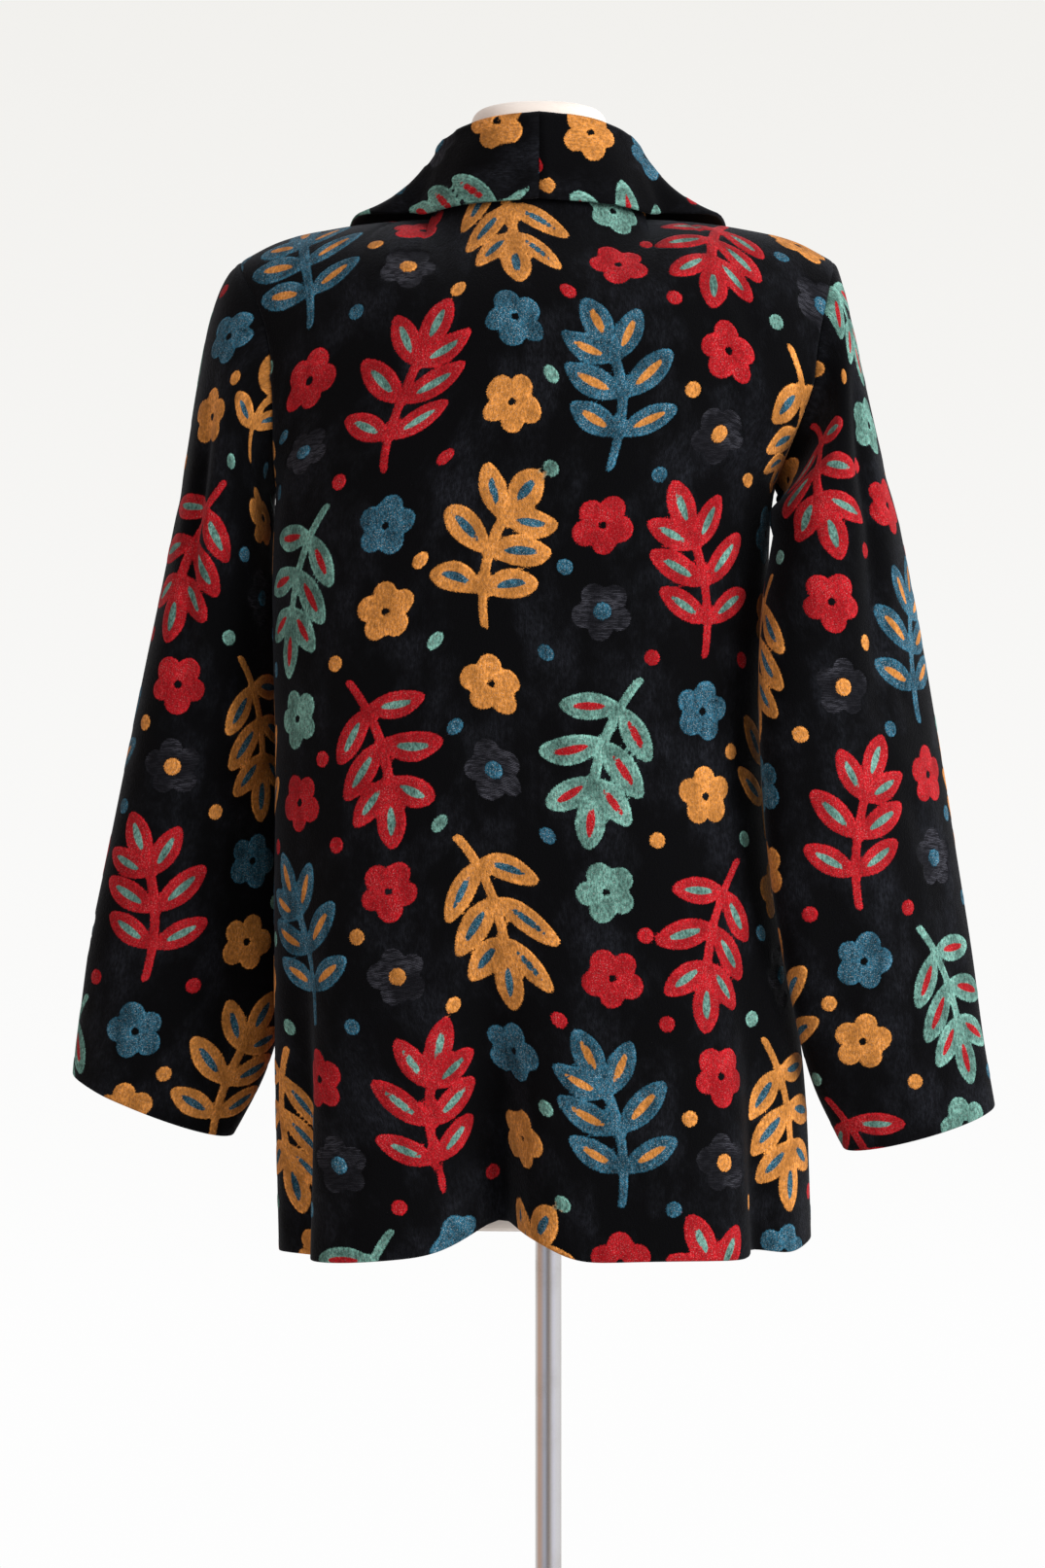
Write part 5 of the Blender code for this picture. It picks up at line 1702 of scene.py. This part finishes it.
@dataclass
class Coat:
    """The coat: a back, two fronts, two sleeves and two halves of a shawl collar."""

    body: BodyCut = field(default_factory=BodyCut)
    design: FiguredVelvet = field(default_factory=FiguredVelvet)
    pieces: dict[str, bpy.types.Object] = field(default_factory=dict)

    # Soft puckers and drags of the hanging cloth, in the metres of each cut
    BACK_RIPPLES = (
        Ripple(0.150, 0.655, 118.0, 0.130, 0.010, -0.0022),
        Ripple(0.172, 0.590, 112.0, 0.150, 0.012, 0.0020),
        Ripple(0.128, 0.610, 108.0, 0.160, 0.012, -0.0016),
        Ripple(-0.150, 0.640, 62.0, 0.150, 0.012, -0.0018),
        Ripple(-0.176, 0.560, 70.0, 0.160, 0.013, 0.0018),
        Ripple(0.060, 0.450, 84.0, 0.300, 0.020, 0.0016),
        Ripple(-0.070, 0.420, 96.0, 0.300, 0.022, 0.0016),
        Ripple(0.010, 0.330, 90.0, 0.340, 0.018, -0.0014),
    )
    FRONT_RIPPLES = (
        Ripple(0.035, 0.640, 115.0, 0.140, 0.011, -0.0020),
        Ripple(0.020, 0.560, 108.0, 0.160, 0.012, 0.0018),
        Ripple(0.090, 0.340, 92.0, 0.300, 0.020, 0.0016),
    )
    SLEEVE_RIPPLES = (
        Ripple(-0.070, 0.110, 60.0, 0.120, 0.010, -0.0028),
        Ripple(-0.085, 0.160, 48.0, 0.110, 0.011, 0.0024),
        Ripple(-0.060, 0.215, 66.0, 0.130, 0.011, -0.0026),
        Ripple(0.080, 0.130, 122.0, 0.140, 0.012, -0.0024),
        Ripple(0.070, 0.200, 128.0, 0.120, 0.012, 0.0022),
        Ripple(-0.040, 0.330, 84.0, 0.220, 0.014, -0.0020),
        Ripple(0.050, 0.380, 96.0, 0.200, 0.014, 0.0018),
        Ripple(0.000, -0.030, 20.0, 0.090, 0.010, -0.0014),
    )
    # The short dart in each shoulder of the back: its top, its foot and how deep its fold is
    DART_X = 0.128
    DART_LENGTH = 0.075
    DART_HALF_WIDTH = 0.0026
    DART_DEPTH = 0.0016
    # The puff beside a dart: its height and width as shares of the groove's, and where it starts
    PUFF_HEIGHT = 0.6
    PUFF_WIDTH = 8
    PUFF_FROM_TOP = 0.03
    # Where the cuts' origins lie in the woven design; each side's own shift is added to all but
    # the back's
    BACK_OFFSET = (0.020, 0.030)
    SIDE_SHIFT = {Side.RIGHT: 0.061, Side.LEFT: 0.118}
    FRONT_ALONG = 0.085
    SLEEVE_OFFSET = (-0.030, 0.150)
    COLLAR_OFFSET = (-0.572, 0.186)

    def cut_back(self) -> Cloth:
        """The back, laid flat from its centre line and its hem."""
        places = shoulder_places()
        half = np.concatenate([np.linspace(0, NECK_SHARE, NECK_STEPS + 1)[:-1], places])
        columns = np.concatenate([-half[:0:-1], half])[None, :]
        points = lean_and_place(self.body.back(panel_rows()[:, None], columns))
        back = Cloth(
            "coat_back", points, 1.0,
            free=(Edge.FIRST_ROW,), seams=(Edge.LAST_ROW, Edge.FIRST_COLUMN, Edge.LAST_COLUMN),
        )
        back.lay_flat(len(half) - 1, 0, (1.0, 1.0, 0.0), (0.0, 1.0, 1.0))
        return back

    def cut_front(self, side: Side) -> Cloth:
        """A front, laid flat from its side seam and its hem."""
        columns = ((1 - shoulder_places()[::-1]) / (1 - NECK_SHARE))[None, :]
        points = lean_and_place(self.body.front(panel_rows()[:, None], columns, side.value))
        front = Cloth(
            "coat_front_" + side.label, points, side.value,
            free=(Edge.FIRST_ROW, Edge.LAST_COLUMN), seams=(Edge.LAST_ROW, Edge.FIRST_COLUMN),
        )
        front.lay_flat(0, 0, (1.0, 1.0, 0.0), (0.0, 1.0, 1.0))
        return front

    def cut_sleeve(self, side: Side) -> Cloth:
        """A sleeve, laid flat from its outer line and its armhole."""
        along = np.concatenate(
            [np.linspace(0, 1, CAP_STEPS + 1), 1 + np.linspace(0, 1, SLEEVE_STEPS + 1)[1:]]
        )
        along = finer_ends(along, at_end=True)[:, None]
        up = (panel_rows()[LOWER_STEPS + len(EDGE_LINES) :] - 1) / 2
        turns = np.concatenate([up, 2 - up[-2:0:-1]])[None, :]
        points = SleeveCut(self.body, side).surface(along, turns)
        sleeve = Cloth(
            "coat_sleeve_" + side.label, points, -side.value, closed_across=True,
            free=(Edge.LAST_ROW,), seams=(Edge.FIRST_ROW,),
        )
        sleeve.lay_flat(len(up) - 1, CAP_STEPS)
        return sleeve

    def cut_collar(self, side: Side) -> Cloth:
        """A half of the collar, laid flat from the centre back and its roll."""
        neck = np.linspace(0, NECK_SHARE, NECK_STEPS + 1)
        rows = panel_rows()[::-1]
        edge = NECK_SHARE + 3.0 - rows[(rows < 3.0) & (rows > BREAK_ROW)]
        along = np.concatenate([neck, edge])
        if len(along) % 2 == 0:
            along = along[:-1]
        fall = np.concatenate(
            [
                np.linspace(0, STAND_END, STAND_STEPS + 1)[:-1],
                np.linspace(STAND_END, ROLL_END, ROLL_STEPS + 1)[:-1],
                finer_ends(np.linspace(ROLL_END, 1, FALL_STEPS + 1), at_end=True),
            ]
        )
        points = CollarCut(self.body, side).surface(along, fall)
        collar = Cloth(
            "coat_collar_" + side.label, points, side.value,
            free=(Edge.LAST_ROW, Edge.LAST_COLUMN), shown_inside=True,
        )
        collar.normals[:, 0, 0] = 0.0
        collar.normals[:, 0] = unit(collar.normals[:, 0])
        collar.points[:, 0, 0] += side.value * COLLAR_HALVES_GAP
        collar.draw_in(Edge.FIRST_ROW, COLLAR_SEAT_GAP)
        collar.lay_flat(0, STAND_STEPS + ROLL_STEPS // 2)
        return collar

    def join(self, back: Cloth, front: Cloth, sleeve: Cloth, side: Side) -> None:
        """Gives the points that meet at a side's seams one normal, and parts them by a gap."""
        under = LOWER_STEPS + len(EDGE_LINES)
        shoulder = len(shoulder_places())
        edge = -1 if side is Side.RIGHT else 0
        top = np.s_[-1, -shoulder:] if side is Side.RIGHT else np.s_[-1, shoulder - 1 :: -1]
        seam = share_normals(back.normals[: under + 1, edge], front.normals[: under + 1, 0])
        back.normals[: under + 1, edge] = seam
        front.normals[: under + 1, 0] = seam
        seam = share_normals(back.normals[top], front.normals[-1, ::-1])
        back.normals[top] = seam
        front.normals[-1, ::-1] = seam
        rise = len(panel_rows()) - under
        behind = share_normals(back.normals[under:, edge], sleeve.normals[0, :rise])
        front_half = np.r_[rise - 1 : 2 * rise - 2, 0]
        ahead = share_normals(front.normals[under:, 0][::-1], sleeve.normals[0, front_half])
        back.normals[under:, edge] = behind
        sleeve.normals[0, :rise] = behind
        front.normals[under + 1 : -1, 0] = ahead[1:-1][::-1]
        front.normals[under, 0] = behind[0]
        front.normals[-1, 0] = behind[-1]
        sleeve.normals[0, rise : 2 * rise - 2] = ahead[1:-1]
        sleeve.draw_in(Edge.FIRST_ROW, SEAM_GAP)
        front.draw_in(Edge.FIRST_COLUMN, SEAM_GAP)
        front.draw_in(Edge.LAST_ROW, SEAM_GAP)

    def dart(self, back: Cloth) -> Array:
        """The darts: a narrow groove from the shoulder seam that runs out at its foot."""
        from_top = back.from_edge[Edge.LAST_ROW]
        across = np.abs(back.cut[..., 0]) - self.DART_X
        fade = ease(1 - from_top / self.DART_LENGTH)
        groove = np.exp(-((across / self.DART_HALF_WIDTH) ** 2))
        puff = np.exp(-((across / (self.PUFF_WIDTH * self.DART_HALF_WIDTH)) ** 2))
        puff = self.PUFF_HEIGHT * self.DART_DEPTH * puff * ease(from_top / self.PUFF_FROM_TOP)
        return fade * (-self.DART_DEPTH * groove + puff)

    def dress(self, cloth: Cloth, offset: Pair, turn: float, node: str) -> bpy.types.Object:
        """Raises the pile, builds the wall and writes the design into it.

        Args:
            cloth: the cut and shaped cloth.
            offset: where the cut's origin lies in the woven design, in metres.
            turn: degrees from the cloth's length to the design's.
            node: the solid that the piece replaces.

        Returns:
            The finished piece.
        """
        placed = turned(cloth.cut, (0.0, 0.0), turn) + np.array(offset)
        design = self.design.read(placed)
        fade = cloth.edge_fade(cloth.free + cloth.seams, RELIEF_FADE)
        raised = PILE_RISE * ease(0.5 - design["motif"] / PILE_SLOPE)
        voided = VOID_DEPTH * ease(0.5 - design["ghost"] / VOID_SLOPE) * (design["motif"] > 0)
        piece = cloth.build((raised - voided) * fade)
        design["cut"] = np.concatenate([placed, 0 * placed[..., :1]], axis=-1)
        kinds = {"cut": "FLOAT_VECTOR", "motif_colour": "FLOAT_COLOR", "vein_colour": "FLOAT_COLOR"}
        for name, values in design.items():
            both = [side.reshape(-1, *values.shape[2:]) for side in (values, values[::2, ::2])]
            set_attribute(piece, name, kinds.get(name, "FLOAT"), np.concatenate(both))
        self.pieces[piece.name] = piece
        return in_place_of(piece, node, "velvet")

    def build(self) -> None:
        """Cuts, joins, creases and patterns every piece of the coat."""
        back = self.cut_back()
        fronts = {side: self.cut_front(side) for side in Side}
        sleeves = {side: self.cut_sleeve(side) for side in Side}
        collars = {side: self.cut_collar(side) for side in Side}
        for side in Side:
            self.join(back, fronts[side], sleeves[side], side)
        back.press(sum(r.out(back.cut) for r in self.BACK_RIPPLES) + self.dart(back))
        for side in Side:
            fronts[side].press(sum(r.out(fronts[side].cut) for r in self.FRONT_RIPPLES))
            mirrored = sleeves[side].cut * np.array([side.value, 1.0])
            sleeves[side].press(sum(r.out(mirrored) for r in self.SLEEVE_RIPPLES))
        self.dress(back, self.BACK_OFFSET, 0.0, "back")
        for side in Side:
            shift, label = self.SIDE_SHIFT[side], side.label
            self.dress(fronts[side], (shift, self.FRONT_ALONG), 0.0, "front_" + label)
            across, along = self.SLEEVE_OFFSET
            self.dress(sleeves[side], (shift + across, shift + along), 180.0, "sleeve_" + label)
            across, along = self.COLLAR_OFFSET
            self.dress(collars[side], (shift + across, along), 90.0 * side.value, "collar_" + label)
        velvet, reverse = CutVelvet().material(), ClothBack().material()
        for piece in self.pieces.values():
            piece.data.materials.append(velvet)
            piece.data.materials.append(reverse)


@dataclass(frozen=True)
class Turned:
    """A piece turned round the pole's axis from a profile of radii and heights."""

    name: str
    node: str
    slot: str
    profile: tuple[Pair, ...]
    sides: int = 96

    def build(self, material: bpy.types.Material) -> bpy.types.Object:
        """Spins the profile: each of its points becomes a ring, and its ends close at the axis."""
        radius, height = np.array(self.profile, float).T
        angle = 2 * np.pi * np.arange(self.sides) / self.sides
        rings = np.stack(
            [
                radius[:, None] * np.cos(angle),
                radius[:, None] * np.sin(angle),
                height[:, None] + 0 * angle,
            ],
            axis=-1,
        )
        poles = np.array([[0.0, 0.0, height[0]], [0.0, 0.0, height[-1]]])
        piece = closed_loft(self.name, rings, poles)
        piece.data.materials.append(material)
        return in_place_of(piece, self.node, self.slot)


def rounded(radius: float, height: float, fillet: float, rising: bool, steps: int = 6) -> list:
    """Profile points round a quarter-circle corner at a radius and height."""
    turn = np.linspace(0, np.pi / 2, steps + 1)
    if rising:
        across, up = radius - fillet + fillet * np.sin(turn), height + fillet - fillet * np.cos(turn)
    else:
        across, up = radius - fillet + fillet * np.cos(turn), height - fillet + fillet * np.sin(turn)
    return list(zip(across.tolist(), up.tolist()))


@dataclass
class Stand:
    """The round base plate, the hub on it and the pole that carries the form."""

    pole_radius: float = 0.0095
    base_radius: float = 0.175
    base_thickness: float = 0.008
    hub_radius: float = 0.018
    hub_height: float = 0.024
    # The hub's side is straight up to the first of these depths below its top
    hub_steps: Pair = (0.008, 0.006)
    gap: float = 0.0003
    flat: float = 0.0001

    def build(self) -> None:
        """Turns the three pieces."""
        steel, enamel = PolishedTube().material(), SatinEnamel().material()
        plate = [
            (self.base_radius * 0.5, 0.0), *rounded(self.base_radius, 0.0, 0.0010, True),
            *rounded(self.base_radius, self.base_thickness, 0.0025, False),
            (self.base_radius * 0.5, self.base_thickness), (self.hub_radius, self.base_thickness),
        ]
        Turned("base_plate", "stand_base", "base_metal", tuple(plate), 160).build(enamel)
        low = self.base_thickness + self.gap
        high = low + self.hub_height
        hub = [
            *rounded(self.hub_radius, low, 0.0006, True),
            (self.hub_radius, high - self.hub_steps[0]),
            (self.hub_radius, high - self.hub_steps[1] + self.flat),
            *rounded(self.hub_radius, high, 0.0030, False),
            (self.pole_radius + self.flat, high),
        ]
        Turned("base_hub", "stand_hub", "pole_metal", tuple(hub)).build(steel)
        foot, head = high + self.gap, FORM_BOTTOM_Z - self.gap
        pole = [
            *rounded(self.pole_radius, foot, 0.0004, True), (self.pole_radius, (foot + head) / 2),
            *rounded(self.pole_radius, head, 0.0004, False),
        ]
        Turned("pole", "stand_pole", "pole_metal", tuple(pole), 64).build(steel)


@dataclass
class DressForm:
    """The limbless form: a loft of rounded rings from its flat bottom to its domed neck."""

    sides: int = 112
    rings: int = 420
    crown: float = 0.0010

    def build(self) -> None:
        """Interpolates the rings along the distance from one to the next, and closes both ends."""
        table = named(FORM_COLUMNS, FORM_RINGS)
        keys = np.arange(len(FORM_RINGS), dtype=float)
        at = np.linspace(0, keys[-1], self.rings)
        ring = {n: smooth_through(keys, table[n], at)[:, None] for n in FORM_COLUMNS}
        angles = 2 * np.pi * np.arange(self.sides)[None, :] / self.sides
        depth = np.where(np.cos(angles) > 0, ring["back"], ring["front"])
        depth = depth * (ring["wing"] + (1 - ring["wing"]) * np.cos(angles) ** 4)
        swell = 1 + FORM_CORNER_PUSH * np.sin(2 * angles) ** 2
        at_top = ease((ring["height"] - FORM_LEAN_FROM_Z) / FORM_LEAN_OVER)
        lean = named(LEAN_COLUMNS, LEAN)
        shift = at_top * smooth_through(lean["height"], lean["shift"], ring["height"])
        to_tip = (ring["half_width"] - NECK_HALF_WIDTH) / (SHOULDER_X - NECK_HALF_WIDTH)
        seam_y = NECK_POINT_Y + (SHOULDER_TIP_Y - NECK_POINT_Y) * np.clip(to_tip, 0, 1)
        points = np.stack(
            [
                COAT_X + shift + ring["half_width"] * np.sin(angles) * swell,
                seam_y * at_top - depth * np.cos(angles) * swell,
                ring["height"] + 0 * angles,
            ],
            axis=-1,
        )
        ends = np.array([points[0].mean(axis=0), points[-1].mean(axis=0)])
        ends[1, 2] += self.crown
        piece = closed_loft("dress_form", points, ends)
        piece.data.materials.append(JerseyCover().material())
        in_place_of(piece, "form_torso", "form_cover")


@dataclass(frozen=True)
class SoftBox:
    """A large soft lamp that shines at a point."""

    name: str
    place: Point
    target: Point
    size: Pair
    watts: float
    colour: Colour

    def build(self) -> None:
        """Adds the lamp, which polished pieces don't mirror."""
        lamp = bpy.data.lights.new(self.name, "AREA")
        lamp.shape = "RECTANGLE"
        lamp.size, lamp.size_y = self.size
        lamp.energy = self.watts
        lamp.color = self.colour
        holder = bpy.data.objects.new(self.name, lamp)
        holder.location = self.place
        aim = np.array(self.target) - np.array(self.place)
        pitch = math.atan2(math.hypot(aim[0], aim[1]), -aim[2])
        holder.rotation_euler = (pitch, 0.0, math.atan2(aim[1], aim[0]) - math.pi / 2)
        holder.visible_glossy = False
        bpy.context.scene.collection.objects.link(holder)


@dataclass
class Studio:
    """The pale room: world light, soft lamps, a floor that fades out, and the camera."""

    floor: Colour = (0.60, 0.595, 0.59)
    floor_radius: float = 1.7
    floor_sides: int = 96
    floor_drop: float = 0.0002
    # Where the floor starts to fade and where it is gone, as shares of its radius
    floor_fade: Pair = (0.30, 0.97)
    eye: Point = (-0.0187, -2.3, 1.0)
    sensor: float = 36.0
    # The focal length and the picture's height, in the picture's pixels
    focal_pixels: int = 3267
    picture_height: int = 1613

    LAMPS = (
        SoftBox("key", (2.3, -1.9, 2.0), (0.0, 0.0, 1.0), (1.5, 1.8), 110.0, (0.97, 0.98, 1.0)),
        SoftBox("fill", (-1.6, -2.4, 1.5), (0.0, 0.0, 1.0), (1.8, 2.0), 9.0, (1.0, 0.975, 0.94)),
        SoftBox("rim", (0.6, 2.2, 2.4), (0.0, 0.0, 1.1), (1.8, 1.2), 34.0, (1.0, 1.0, 1.0)),
    )
    # The room's light by direction, from the left at 0 through the viewer's side to the right at 1
    ROOM = (
        (0.00, (0.66, 0.46, 0.34)),
        (0.05, (0.66, 0.49, 0.42)),
        (0.14, (0.58, 0.56, 0.60)),
        (0.26, (0.56, 0.59, 0.67)),
        (0.39, (0.33, 0.31, 0.32)),
        (0.53, (0.34, 0.29, 0.26)),
        (0.68, (0.66, 0.63, 0.61)),
        (0.80, (0.89, 0.89, 0.96)),
        (0.91, (1.00, 1.00, 1.08)),
        (1.00, (1.00, 1.00, 1.00)),
    )
    BEHIND: Colour = (0.90, 0.88, 0.85)
    BACKDROP_LOW: Colour = (0.985, 0.985, 0.985)
    BACKDROP_HIGH: Colour = (0.885, 0.875, 0.850)

    def build(self) -> None:
        """Adds everything that isn't the object."""
        self.add_world()
        self.add_floor()
        for lamp in self.LAMPS:
            lamp.build()
        self.add_camera()

    def add_world(self) -> None:
        """The room's light by direction, and for the camera a plain backdrop, whiter lower down."""
        world = bpy.data.worlds.new("studio")
        bpy.context.scene.world = world
        world.use_nodes = True
        g = Graph(world.node_tree)
        ray = {0: g.add("ShaderNodeTexCoord").outputs["Generated"]}
        split = g.add("ShaderNodeSeparateXYZ", ray).outputs
        ramp = g.add("ShaderNodeValToRGB")
        for element, (place, colour) in zip(ramp.color_ramp.elements, (self.ROOM[0], self.ROOM[-1])):
            element.position = place
            element.color = rgb(colour)
        for place, colour in self.ROOM[1:-1]:
            ramp.color_ramp.elements.new(place).color = rgb(colour)

        def spread(axis: int, low: float, high: float) -> object:
            """A direction's share of the way between two values of one axis."""
            inputs = {"Value": split[axis], "From Min": low, "From Max": high}
            return g.add("ShaderNodeMapRange", inputs).outputs[0]

        g.put(ramp.inputs[0], spread(0, -1.0, 1.0))
        room = g.tree.nodes["Background"]
        g.put(room.inputs["Color"], g.mix(spread(1, 0.10, 0.75), ramp.outputs[0], rgb(self.BEHIND)))
        high = g.mix(spread(2, -0.16, 0.24), rgb(self.BACKDROP_LOW), rgb(self.BACKDROP_HIGH))
        plain = g.add("ShaderNodeBackground", {"Color": high})
        seen = g.add("ShaderNodeLightPath").outputs["Is Camera Ray"]
        choice = g.add("ShaderNodeMixShader", {0: seen, 1: room.outputs[0], 2: plain.outputs[0]})
        g.put(g.tree.nodes["World Output"].inputs["Surface"], choice.outputs[0])

    def add_floor(self) -> None:
        """A pale disc of floor whose rim fades into the backdrop."""
        sides = self.floor_sides
        ring = np.arange(sides)
        angle = 2 * np.pi * ring / sides
        rim = np.stack([np.cos(angle), np.sin(angle), 0 * angle], axis=-1) * self.floor_radius
        verts = np.concatenate([rim, [[0.0, 0.0, 0.0]]])
        verts[:, 2] = -self.floor_drop
        faces = np.stack([ring, (ring + 1) % sides, np.full(sides, sides)], axis=-1)
        disc = add_mesh("floor", verts, [faces], smooth=False)
        material, g = new_material("pale_floor")
        place = g.add("ShaderNodeTexCoord").outputs["Object"]
        away = g.add("ShaderNodeVectorMath", {0: place}, operation="LENGTH").outputs["Value"]
        g.finish({"Base Color": rgb(self.floor), "Roughness": 0.9, "Specular IOR Level": 0.2})
        clear = g.add("ShaderNodeBsdfTransparent").outputs[0]
        start, end = (self.floor_radius * share for share in self.floor_fade)
        gone = g.ramp(away, start, end, 0.0, 1.0)
        solid = g.tree.nodes["Principled BSDF"].outputs[0]
        fade = g.add("ShaderNodeMixShader", {0: gone, 1: solid, 2: clear})
        g.put(g.tree.nodes["Material Output"].inputs["Surface"], fade.outputs[0])
        disc.data.materials.append(material)

    def add_camera(self) -> None:
        """The camera, level, square to the coat's back, with no depth of field."""
        camera = bpy.data.cameras.new("camera")
        camera.sensor_fit = "VERTICAL"
        camera.sensor_height = self.sensor
        camera.sensor_width = self.sensor
        camera.lens = self.sensor * self.focal_pixels / self.picture_height
        holder = bpy.data.objects.new("camera", camera)
        holder.location = self.eye
        holder.rotation_euler = (math.pi / 2, 0.0, 0.0)
        bpy.context.scene.collection.objects.link(holder)
        bpy.context.scene.camera = holder
        bpy.context.scene.view_settings.view_transform = "Standard"


def main() -> None:
    """Builds the form, the stand, the coat and the studio, in order."""
    logging.basicConfig(level=logging.INFO, format="%(name)s %(message)s")
    DressForm().build()
    Stand().build()
    Coat().build()
    Studio().build()


if __name__ == "__main__":
    main()
